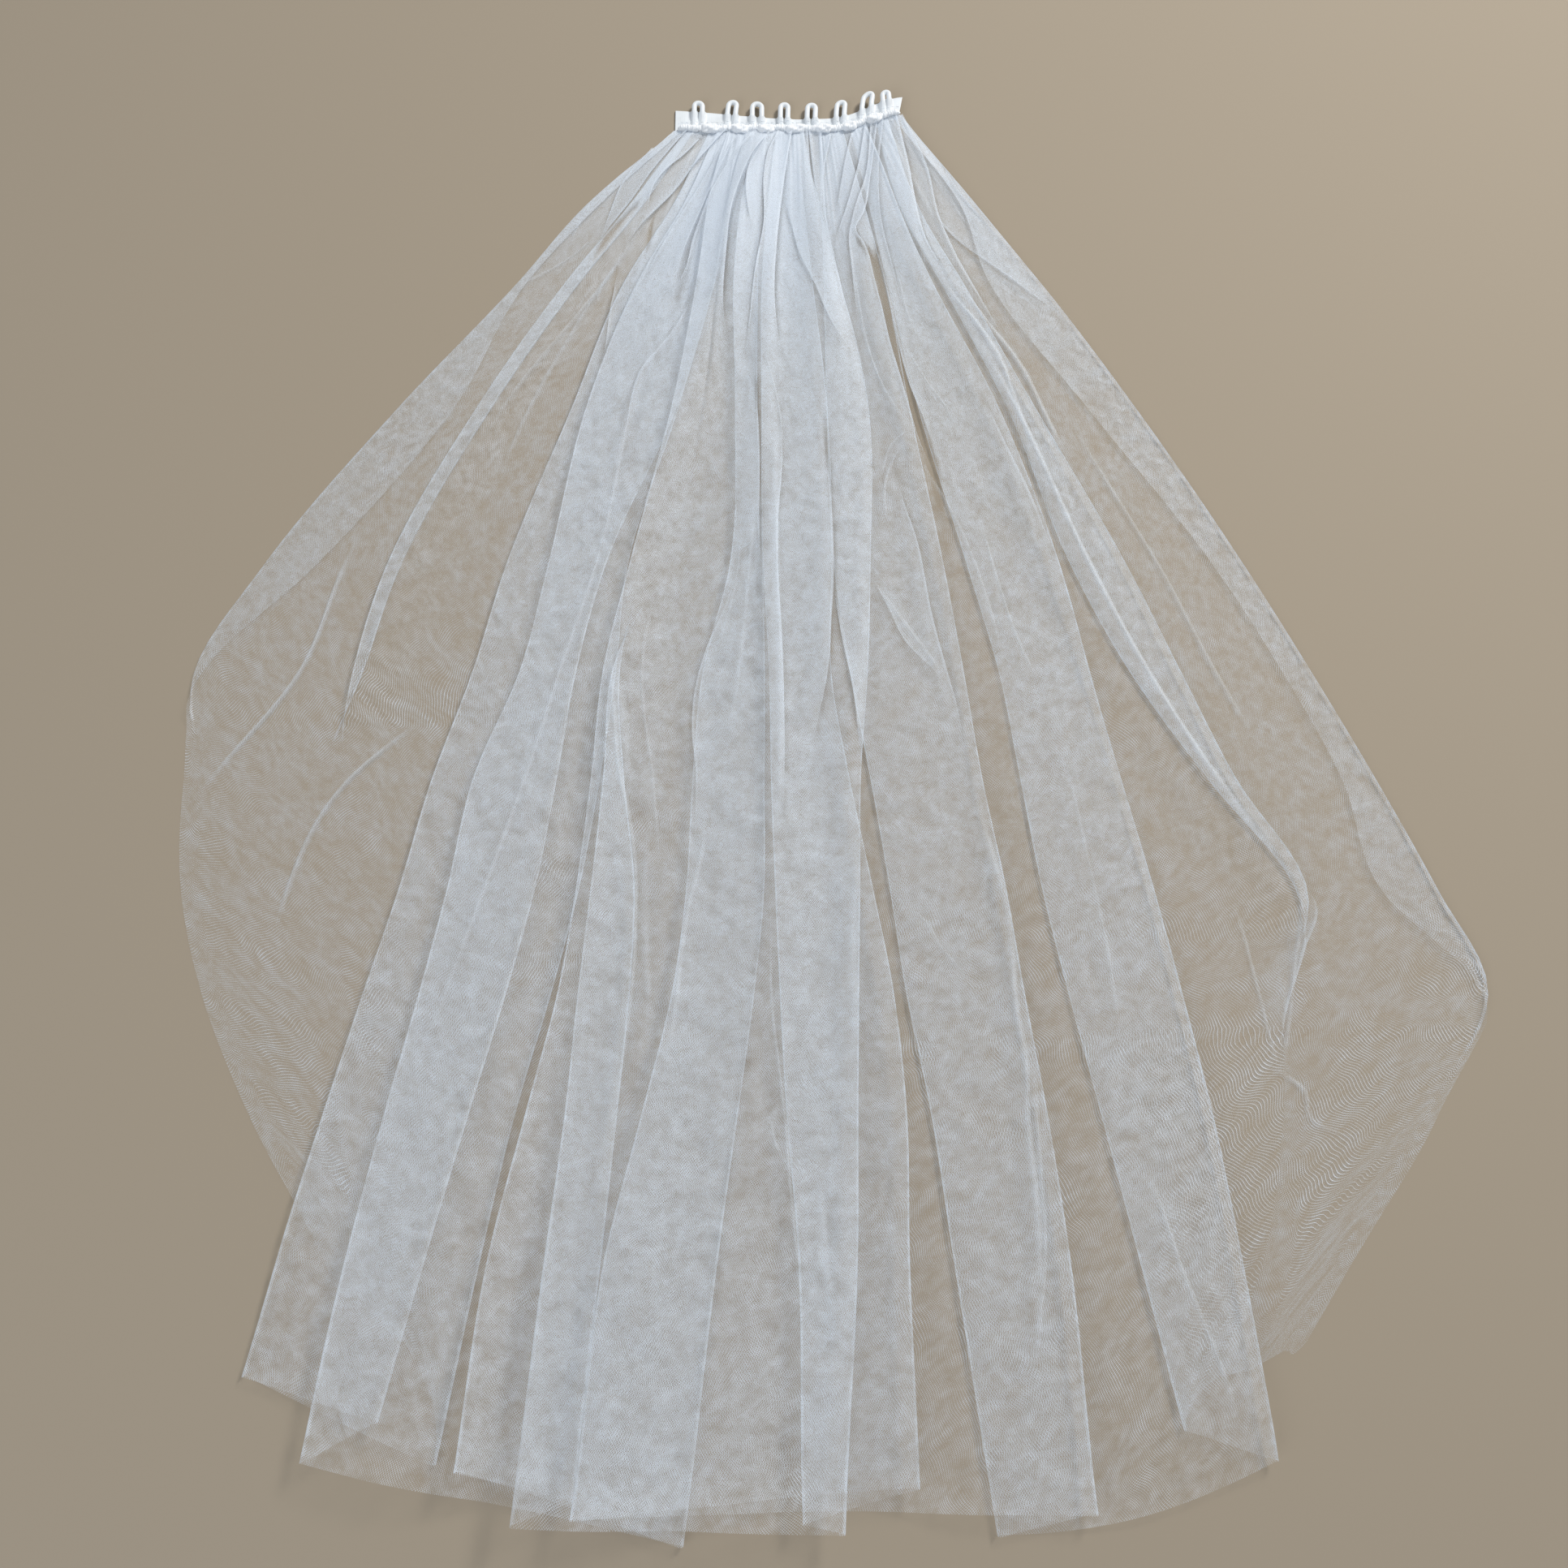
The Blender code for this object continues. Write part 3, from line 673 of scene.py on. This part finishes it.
def smooth_mesh(name, points, faces):
    """Mesh with smooth shading."""
    mesh = bpy.data.meshes.new(name)
    mesh.from_pydata(points.tolist(), [], faces)
    mesh.shade_smooth()
    return mesh


def grid_mesh(name, grids):
    """Mesh of open sheets."""
    points = np.concatenate([grid.reshape(-1, 3) for grid in grids])
    return smooth_mesh(name, points, grid_faces(grids).tolist())


def add_cloth(mesh, cloth_x, cloth_y, layers):
    """Give net its place on the flat cloth, and the share of a cell that its threads fill."""
    clear = (1 - LAYER_COVER) ** np.maximum(layers, 0)
    share = (1 - np.sqrt(clear)) / THREAD_OPACITY
    for name, values in (("cloth_x", cloth_x), ("cloth_y", cloth_y), ("thread_share", share)):
        mesh.attributes.new(name, "FLOAT", "POINT").data.foreach_set("value", values.ravel())


def add_piece(name, data, finish):
    """Put one piece in the scene, riding on the veil's body."""
    piece = bpy.data.objects.new(name, data)
    data.materials.append(finish)
    bpy.context.scene.collection.objects.link(piece)
    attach(piece, "root")
    return piece


def net_points():
    """Points of the net as laid, its extra layers at folds, and its share of thickness."""
    places, extra, thickness = [], [], []
    for row in ROWS:
        x, down, z, turned_back = net_section(row).T
        gathered_up = gather_shape(x, down)
        climb = TAPE_CLIMB * (1 - ease(down / TAPE_CLIMB_LENGTH))
        free = ROLL_PRESS + (1 - ROLL_PRESS) * ease(down / ROLL_PRESS_LENGTH)
        raised = (z - NET_BASE + GATHER_HEIGHT * gathered_up) * free
        places.append(world(x, down + SEAM_GAP, NET_BASE + climb + raised))
        extra.append(FOLD_EDGE_LAYERS * turned_back + GATHER_LAYERS * gathered_up)
        seam_density = 1 + (SEAM_DENSITY - 1) * (1 - ease(down / SEAM_DENSITY_LENGTH))
        thickness.append(gap_share(x, down) * seam_density)
    return np.array(places), np.array(extra), np.array(thickness)


def cloth_run(places, axis):
    """Millimetres of cloth from the first row or column to each point of a sheet."""
    steps = np.cumsum(np.linalg.norm(np.diff(places, axis=axis), axis=2) / MM, axis=axis)
    return np.concatenate([np.zeros_like(np.take(steps, [0], axis=axis)), steps], axis=axis)


def net_piece(finish, places, extra, thickness):
    """The whole sheet of net."""
    mesh = grid_mesh("net", [places])
    run = cloth_run(places, 1)
    gathered = CLOTH_WIDTH / run[:, -1:]
    add_cloth(mesh, run * gathered, cloth_run(places, 0), np.maximum(gathered, 1) * thickness + extra)
    piece = add_piece("veil_net", mesh, finish)
    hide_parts("net")
    return piece


def route_line(route):
    """Points of a line: distance down, x, how far along it, and how much wider along x."""
    length = sum(math.dist(a, b) for a, b in zip(route, route[1:]))
    down = np.linspace(route[0][0], route[-1][0], max(ROUTE_LEAST, round(length / ROUTE_STEP)))
    x, along = route_x(route, down)
    return down, x, along, np.hypot(1, np.gradient(x, down))


def pleat_columns(facing, body, layers, down, along):
    """Section of a small pleat round its nose: (offset from its edge, height, layers)."""
    opened = PLEAT_START_WIDTH + (1 - PLEAT_START_WIDTH) * ease(along / PLEAT_OPENED_AT)
    closing = 1 - PLEAT_NARROWS_BY * ease(along, PLEAT_NARROWS_FROM)
    fade = 1 - ease(along, PLEAT_FADES_FROM)
    if down[0] > PLEAT_OPENS_DOWN:
        fade = fade * ease(along / PLEAT_COMES_UP_OVER)
    width, top, turn = body * opened * closing, PLEAT_HEIGHT * fade, PLEAT_NOSE * fade
    columns = []
    for share in np.arange(PLEAT_BODY_STEPS) / PLEAT_BODY_STEPS:
        thin = share**THINNING
        columns.append((-facing * width * (1 - share), top * thin, layers * fade * thin))
    for angle in np.radians((90, 45, 0, -45, -90)):
        round_nose = turn * (math.sin(angle) - 1)
        edge_layers = PLEAT_NOSE_LAYERS * layers * fade
        columns.append((facing * turn * math.cos(angle), top + round_nose, edge_layers))
    columns.append((-facing * PLEAT_TUCK * turn, np.zeros_like(along), PLEAT_TUCK_LAYERS * layers * fade))
    return columns


def crease_columns(half, tall, layers, along):
    """Section of a crease: (offset from its middle, height, layers)."""
    fade = ease(along / CREASE_ENDS) * ease((1 - along) / CREASE_ENDS)
    columns = []
    for side in np.linspace(-1, 1, CREASE_POINTS):
        ridge = 1 - side**2
        offset = np.full_like(along, half * side)
        columns.append((offset, tall * fade * ridge**2, layers * fade * ridge**THINNING))
    return columns


def evened(heights):
    """Heights under a fold, with steps bridged as cloth bridges them."""
    for rule, reach in ((np.max, 1), (np.mean, 2)):
        padded = np.pad(heights, reach, mode="edge")
        windows = np.lib.stride_tricks.sliding_window_view(padded, (2 * reach + 1, 2 * reach + 1))
        heights = rule(windows, axis=(2, 3))
    return heights


def top_of_net(net_tree, places):
    """Height of the top of the net under each place, in metres."""
    heights = np.zeros(places.shape[:2])
    for i, j in np.ndindex(heights.shape):
        start = Vector((places[i, j, 0], places[i, j, 1], DROP_FROM))
        hit = net_tree.ray_cast(start, Vector((0, 0, -1)))[0]
        heights[i, j] = hit.z if hit else 0
    return heights


def laid_fold(net_tree, down, middle, slant, columns):
    """Points of one small fold laid on the net, and its layers."""
    offsets, heights, layers = [np.stack([column[k] for column in columns], axis=1) for k in range(3)]
    x = middle[:, None] + offsets * slant[:, None]
    places = world(x, np.broadcast_to(down[:, None] + SEAM_GAP, x.shape), np.zeros_like(x))
    places[..., 2] = evened(top_of_net(net_tree, places)) + (FOLD_CLEARANCE + heights) * MM
    return places, layers


def folds_piece(finish, net_places):
    """All small pleats and creases, laid on the net as one piece."""
    net_tree = BVHTree.FromPolygons(net_places.reshape(-1, 3).tolist(), grid_faces([net_places]).tolist())
    laid = []
    for facing, body, layers, _, *route in PLEATS:
        down, x, along, slant = route_line(route)
        laid.append(laid_fold(net_tree, down, x, slant, pleat_columns(facing, body, layers, down, along)))
    for half, tall, layers, *route in CREASES:
        down, x, along, slant = route_line(route)
        laid.append(laid_fold(net_tree, down, x, slant, crease_columns(half, tall, layers, along)))
    grids = [places for places, _ in laid]
    mesh = grid_mesh("net_folds", grids)
    across = [FOLD_GATHERED * cloth_run(grid, 1) + FOLD_PHASE * k for k, grid in enumerate(grids)]
    along = [-grid[..., 1] / MM for grid in grids]
    layers = [values for _, values in laid]
    add_cloth(mesh, *[np.concatenate([v.ravel() for v in values]) for values in (across, along, layers)])
    return add_piece("veil_net_folds", mesh, finish)


def tube_mesh(name, tubes):
    """Mesh of closed tubes, each an array of rings of points."""
    points, faces, first = [], [], 0
    for rings in tubes:
        count, sides = rings.shape[:2]
        points.append(rings.reshape(-1, 3))
        for start in range(first, first + (count - 1) * sides, sides):
            for k in range(sides):
                after = (k + 1) % sides
                faces.append((start + k, start + after, start + sides + after, start + sides + k))
        faces.append(tuple(first + k for k in reversed(range(sides))))
        faces.append(tuple(first + (count - 1) * sides + k for k in range(sides)))
        first += count * sides
    return smooth_mesh(name, np.concatenate(points), faces)


def rings_round(path, radii, sides):
    """Rings of points round a path in metres, with radii in millimetres."""
    ahead = np.gradient(path, axis=0)
    ahead /= np.linalg.norm(ahead, axis=1, keepdims=True)
    level = np.cross(ahead, (0, 0, 1))
    level /= np.linalg.norm(level, axis=1, keepdims=True)
    up = np.cross(level, ahead)
    angles = np.linspace(0, 2 * math.pi, sides, endpoint=False)
    radii = np.broadcast_to(np.asarray(radii, float).reshape(len(path), -1), (len(path), sides)) * MM
    out = level[:, None] * np.cos(angles)[:, None] + up[:, None] * np.sin(angles)[:, None]
    return path[:, None] + out * radii[..., None]


def far_edge(x):
    """How far the tape's far edge stands from the seam."""
    return smooth_line(TAPE_FAR_EDGE, x)


def leg_share(x, reach):
    """How far a leg has come from the roll, 0, to the tape's far edge, 1."""
    return ease((reach - LEG_ROOT) / (far_edge(x) - LEG_ROOT))


def leg_x(loop, side, reach):
    """X of a loop's leg, or of its middle for side 0, at a distance from the seam."""
    middle, lean, half_width, tip = loop
    return middle + side * half_width + lean * ((reach - LEG_ROOT) / (tip - LEG_ROOT)) ** 2


def tape_top(x, reach):
    """Height of the tape's top, with its humps over the legs and small waves."""
    across = (reach + TAPE_NEAR_EDGE) / (far_edge(x) + TAPE_NEAR_EDGE)
    hump = np.zeros_like(x)
    for loop in LOOPS:
        for side in (-1, 1):
            off = np.abs(x - leg_x(loop, side, reach)) / CORD_RADIUS
            hump = np.maximum(hump, 1 - ease((off - HUMP_FLAT) / HUMP_SLOPE))
    hump = hump * (LEG_HUMP + LEG_HUMP_AT_EDGE * leg_share(x, reach))
    waves = sum(tall * np.sin(run * x + turn * across) for tall, run, turn in TAPE_WAVES)
    return TAPE_THICKNESS + hump + waves


def tape_row(share):
    """X along the tape and distance from the seam, at a share of the way to the far edge."""
    x = np.linspace(TAPE_LEFT_X, TAPE_RIGHT_X - TAPE_END_SLANT * (1 - share), TAPE_COLUMNS)
    return x, share * (far_edge(x) + TAPE_NEAR_EDGE) - TAPE_NEAR_EDGE


def tape_piece(finish):
    """Satin tape with rounded edges, sewn over the legs of the loops."""
    ring = []
    for share in TAPE_TOP:
        x, reach = tape_row(share)
        rounding = math.sqrt(max(0, 1 - abs(2 * share - 1) ** TAPE_EDGE_POWER))
        rounding = TAPE_EDGE_HEIGHT + (1 - TAPE_EDGE_HEIGHT) * rounding
        ring.append(world(x, -reach, tape_top(x, reach) * rounding))
    for share in TAPE_UNDERSIDE:
        x, reach = tape_row(share)
        ring.append(world(x, -reach, np.zeros_like(x)))
    piece = add_piece("satin_tape", tube_mesh("satin_tape", [np.stack(ring, axis=1)]), finish)
    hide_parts("tape")


def loop_piece(index, loop, finish):
    """Loop of round satin cord that comes out from under the tape's far edge."""
    _, _, half_width, tip = loop
    turn = tip - CORD_RADIUS - half_width
    legs = np.linspace(LEG_ROOT, turn, LEG_STEPS + 1)[:-1]
    bend = np.linspace(math.pi, 0, BEND_STEPS)
    side = np.concatenate([-np.ones(LEG_STEPS), np.cos(bend), np.ones(LEG_STEPS)])
    reach = np.concatenate([legs, turn + half_width * np.sin(bend), legs[::-1]])
    x = leg_x(loop, side, reach)
    share = leg_share(x, reach)
    path = world(x, -reach, LEG_LOW + (TAPE_THICKNESS + SEAM_GAP + CORD_RADIUS - LEG_LOW) * share)
    radii = LEG_THIN + (CORD_RADIUS - LEG_THIN) * share
    mesh = tube_mesh("cord_loop", [rings_round(path, radii, CORD_SIDES)])
    piece = add_piece("cord_loop_%d" % index, mesh, finish)
    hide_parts("loop_%d" % index)


def bead_share(x):
    """1 in the middle of a fat bead of the roll, 0 between beads."""
    places = np.array([np.abs(x - middle) / half for middle, half in BEADS])
    return np.max(1 - ease(places, BEAD_FLAT), axis=0)


def roll_path(x):
    """Middle line of the roll in metres, and its radius before folds and knots."""
    bead = bead_share(x)
    uneven = KNOT_WANDER[0] * np.sin(KNOT_WANDER[1] * x)
    knots = np.abs(np.sin(math.pi * x / KNOT_PITCH + uneven)) ** KNOT_ROUNDNESS
    radius = ROLL_THIN + KNOT_SIZE * knots * (1 - bead) + (ROLL_FAT - ROLL_THIN) * bead
    from_end = np.minimum(x - ROLL_LEFT_X, ROLL_RIGHT_X - x)
    radius = radius * np.minimum(1, ROLL_END + ROLL_END_TAPER * from_end)
    down = ROLL_DOWN + BEAD_DOWN * bead + ROLL_WANDER[0] * (np.sin(ROLL_WANDER[1] * x) - 0.5)
    return world(x, down, TAPE_THICKNESS + SEAM_GAP + ROLL_REST * radius), radius


def roll_piece(finish):
    """Knobbly roll of gathered net on the seam, with fat beads between the loops."""
    x = np.linspace(ROLL_LEFT_X, ROLL_RIGHT_X, ROLL_COLUMNS)
    path, radius = roll_path(x)
    angles = np.linspace(0, 2 * math.pi, ROLL_SIDES, endpoint=False)[None]
    bead, run = bead_share(x)[:, None], x[:, None]
    folds = sum(deep * np.sin(count * angles + turn * run) for deep, count, turn in ROLL_FOLDS)
    wraps = sum(deep * np.sin(2 * math.pi * run / pitch + turns * angles)
                for deep, pitch, turns in ROLL_WRAPS)
    uneven = folds * (ROLL_FOLDS_LEFT + bead) + wraps * (1 - ROLL_WRAPS_LOST * bead)
    radii = radius[:, None] * (1 + uneven)
    mesh = tube_mesh("gathered_roll", [rings_round(path, radii, ROLL_SIDES)])
    piece = add_piece("knotted_roll", mesh, finish)
    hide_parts("gathered_roll")


def roll_stitch(x):
    """Path of one stitch that slants over the roll."""
    along = np.clip(x + STITCH_SLANT * (STITCH_ANGLES / math.pi - 0.5), ROLL_LEFT_X, ROLL_RIGHT_X)
    path, radius = roll_path(along)
    out = np.stack([np.zeros_like(along), -np.cos(STITCH_ANGLES), np.sin(STITCH_ANGLES)], axis=1)
    return path + out * (radius * STITCH_LIFT + THREAD_RADIUS)[:, None] * MM


def tape_stitch(x):
    """Path of one stitch along the tape."""
    run = x + STITCH_LENGTH * STITCH_SHARES
    reach = STITCH_ROW + STITCH_ROW_WAVE[0] * np.sin(STITCH_ROW_WAVE[1] * run)
    return world(run, -reach, tape_top(run, reach) + STITCH_HUMP * np.sin(math.pi * STITCH_SHARES))


def sewing_piece(finish):
    """Stitches over the thin stretches of the roll, and a row along the tape."""
    over_roll = np.arange(ROLL_LEFT_X + STITCH_ENDS, ROLL_RIGHT_X - STITCH_ENDS, STITCH_PITCH)
    on_tape = np.arange(TAPE_LEFT_X + STITCH_ENDS, TAPE_RIGHT_X - STITCH_ENDS, STITCH_PITCH)
    paths = [roll_stitch(x) for x in over_roll if bead_share(x) <= STITCHED_BEAD]
    paths += [tape_stitch(x) for x in on_tape]
    threads = [rings_round(path, np.full(len(path), THREAD_RADIUS), THREAD_SIDES) for path in paths]
    add_piece("sewing_thread", tube_mesh("sewing_thread", threads), finish)


def net_edge_piece(finish):
    """The net's cut edge, in small scallops on the tape past the roll."""
    x = np.linspace(TAPE_LEFT_X + EDGE_LEFT_GAP, TAPE_RIGHT_X - EDGE_RIGHT_GAP, EDGE_COLUMNS)
    uneven = SCALLOP_UNEVEN[0] * np.sin(SCALLOP_UNEVEN[1] * x)
    scallops = SCALLOP_LEAST + SCALLOPS[0] * np.abs(np.sin(SCALLOPS[1] * x + uneven))
    scallops = scallops + SMALL_SCALLOPS[0] * np.sin(SMALL_SCALLOPS[1] * x)
    ripple, run, turn = EDGE_RIPPLE
    rows, layers = [], []
    for share in np.linspace(0, 1, EDGE_ROWS):
        reach = EDGE_STARTS + (1 + scallops) * share
        bowed = EDGE_STANDS_OFF * share * (1 - share)
        lifted = EDGE_LIFT + bowed + ripple * np.sin(run * x + turn * share)
        rows.append(world(x, -reach, tape_top(x, reach) + lifted))
        thick = EDGE_LAYERS[0] + (EDGE_LAYERS[1] - EDGE_LAYERS[0]) * share
        layers.append(np.full_like(x, EDGE_LAYERS[2] if share == 1 else thick))
    places = np.array(rows)
    mesh = grid_mesh("net_edge", [places])
    add_cloth(mesh, np.tile(x * EDGE_GATHERED, (EDGE_ROWS, 1)), -places[..., 1] / MM, np.array(layers))
    return add_piece("net_cut_edge", mesh, finish)


def node_material(name, constants):
    """New material and the inputs of its shader, some of them set to constants."""
    made = bpy.data.materials.new(name)
    made.use_nodes = True
    inputs = made.node_tree.nodes["Principled BSDF"].inputs
    for place, value in constants.items():
        inputs[place].default_value = value
    return made, inputs


def add_node(made, kind, inputs, **settings):
    """Node in a material, its inputs fed by values or by other nodes' sockets."""
    node = made.node_tree.nodes.new("ShaderNode" + kind)
    for name, value in settings.items():
        setattr(node, name, value)
    for place, value in inputs.items():
        if isinstance(value, bpy.types.NodeSocket):
            made.node_tree.links.new(value, node.inputs[place])
        else:
            node.inputs[place].default_value = value
    return node


def math_node(made, operation, first, second):
    """Math node with two inputs."""
    return add_node(made, "Math", {0: first, 1: second}, operation=operation).outputs[0]


def mesh_number(made, name):
    """Socket of a number that the mesh carries."""
    return add_node(made, "Attribute", {}, attribute_name=name).outputs["Fac"]


def noise(made, place, scale, detail):
    """Noise node over some places."""
    return add_node(made, "TexNoise", {"Vector": place, "Scale": scale, "Detail": detail})


def cloth_place(made):
    """Place on the flat cloth, with the small pulls that real net has."""
    sides = {"X": mesh_number(made, "cloth_x"), "Y": mesh_number(made, "cloth_y")}
    flat = add_node(made, "CombineXYZ", sides).outputs["Vector"]
    pull = noise(made, flat, 1 / PULL_SIZE, 1).outputs["Color"]
    pulled = {0: pull, 1: (PULL, PULL, PULL), 2: flat}
    return add_node(made, "VectorMath", pulled, operation="MULTIPLY_ADD").outputs["Vector"]


def uneven_share(made, place):
    """Share of a cell that the threads fill, a little uneven over the cloth."""
    share = mesh_number(made, "thread_share")
    loose = add_node(made, "MapRange", {
        "Value": mesh_number(made, "cloth_y"), "From Min": MOTTLES_FROM, "From Max": MOTTLES_FULL_AT,
        "To Min": MOTTLE_AT_SEAM}).outputs["Result"]
    for size, strength in MOTTLES:
        spots = noise(made, place, 1 / size, 2).outputs["Fac"]
        spread = add_node(made, "MapRange", {
            "Value": spots, "From Min": 0.3, "From Max": 0.7, "To Min": -strength, "To Max": strength})
        change = math_node(made, "MULTIPLY", spread.outputs["Result"], loose)
        share = math_node(made, "MULTIPLY", share, math_node(made, "ADD", change, 1))
    return share


def net_material():
    """White tulle: two sets of slanting threads, clear between them."""
    made, inputs = node_material("net_white_tulle", {
        "Base Color": (*NET_COLOUR, 1), "Roughness": 0.55, "Sheen Weight": 0.15})
    place = cloth_place(made)
    apart = add_node(made, "SeparateXYZ", {"Vector": place}).outputs
    across = math_node(made, "DIVIDE", apart["X"], CELL_WIDTH)
    along = math_node(made, "DIVIDE", apart["Y"], CELL_LENGTH)
    half = math_node(made, "MULTIPLY", uneven_share(made, place), 0.5)
    inner = math_node(made, "MULTIPLY", half, 1 - THREAD_SOFTNESS)
    outer = math_node(made, "MULTIPLY", half, 1 + THREAD_SOFTNESS)
    threads = []
    for operation in ("ADD", "SUBTRACT"):
        off = math_node(made, "PINGPONG", math_node(made, operation, across, along), 0.5)
        ends = {"Value": off, "From Min": inner, "From Max": outer, "To Min": THREAD_OPACITY, "To Max": 0}
        edge = add_node(made, "MapRange", ends, interpolation_type="SMOOTHSTEP")
        threads.append(edge.outputs["Result"])
    made.node_tree.links.new(math_node(made, "MAXIMUM", *threads), inputs["Alpha"])
    return made


def cloth_material(name, colour, roughness, ribs):
    """Woven or corded cloth: fine ribs, a little uneven in tone."""
    made, inputs = node_material(name, {"Roughness": roughness, "Sheen Weight": 0.2})
    place = add_node(made, "TexCoord", {}).outputs["Object"]
    pitch, depth = ribs
    wave = add_node(made, "TexWave", {
        "Vector": place, "Scale": 1 / (pitch * MM * 2 * math.pi), "Distortion": 1.5})
    spots = noise(made, place, SPOTS_PER_METRE, 3)
    tone = add_node(made, "ValToRGB", {"Fac": spots.outputs["Fac"]})
    for element, position, shade in zip(tone.color_ramp.elements, (0.3, 0.7), (SPOT_SHADE, 1)):
        element.position = position
        element.color = (*[c * shade for c in colour], 1)
    bump = add_node(made, "Bump", {
        "Height": wave.outputs["Fac"], "Strength": 0.5, "Distance": depth * MM})
    made.node_tree.links.new(tone.outputs["Color"], inputs["Base Color"])
    made.node_tree.links.new(bump.outputs["Normal"], inputs["Normal"])
    return made


def stage_floor():
    """Plain pale table top."""
    bpy.ops.mesh.primitive_plane_add(size=FLOOR_SIZE)
    floor = bpy.context.object
    floor.name = "floor"
    made, _ = node_material("floor_plain", {"Base Color": (*FLOOR_COLOUR, 1), "Roughness": 0.8})
    floor.data.materials.append(made)


def stage_camera():
    """Camera at the photo's place and angle."""
    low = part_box("tape")[0]
    data = bpy.data.cameras.new("camera")
    data.sensor_width = CAMERA_SENSOR
    data.lens = CAMERA_LENS
    camera = bpy.data.objects.new("camera", data)
    seam = low.y + TAPE_NEAR_EDGE * MM
    camera.location = (low.x - TAPE_LEFT_X * MM, seam - CAMERA_BEFORE_SEAM, CAMERA_HEIGHT)
    camera.rotation_euler = (math.pi / 2 - CAMERA_DOWN_ANGLE, 0, 0)
    bpy.context.scene.collection.objects.link(camera)
    bpy.context.scene.camera = camera


def stage_light():
    """Soft key light from the far right, weaker fill from the near left, and an even sky."""
    for name, place, size, power, colour in LIGHTS:
        data = bpy.data.lights.new(name, "AREA")
        data.size = size
        data.energy = power
        data.color = colour
        light = bpy.data.objects.new(name, data)
        light.location = place
        light.rotation_euler = (-light.location).to_track_quat("-Z", "Y").to_euler()
        bpy.context.scene.collection.objects.link(light)
    sky = bpy.data.worlds.new("sky")
    sky.use_nodes = True
    inputs = sky.node_tree.nodes["Background"].inputs
    inputs["Color"].default_value = (*SKY_COLOUR, 1)
    inputs["Strength"].default_value = SKY_STRENGTH
    bpy.context.scene.world = sky


def render_choices():
    """See-through bounces for all layers of net, and a denoiser that keeps its mesh."""
    scene = bpy.context.scene
    scene.cycles.transparent_max_bounces = 64
    scene.cycles.max_bounces = 6
    scene.cycles.use_denoising = True
    scene.cycles.denoising_prefilter = "NONE"
    scene.view_settings.view_transform = "Standard"


stage_camera()
stage_light()
stage_floor()
render_choices()
tulle = net_material()
satin = cloth_material("satin_white", SATIN_COLOUR, 0.42, SATIN_RIBS)
gathered = cloth_material("gathered_white", GATHERED_COLOUR, 0.6, GATHERED_RIBS)
net_places, extra_layers, net_thickness = net_points()
net = net_piece(tulle, net_places, extra_layers, net_thickness)
folds = folds_piece(tulle, net_places)
cut_edge = net_edge_piece(tulle)
tape_piece(satin)
for number, loop in enumerate(LOOPS, start=1):
    loop_piece(number, loop, satin)
roll_piece(gathered)
sewing_piece(gathered)
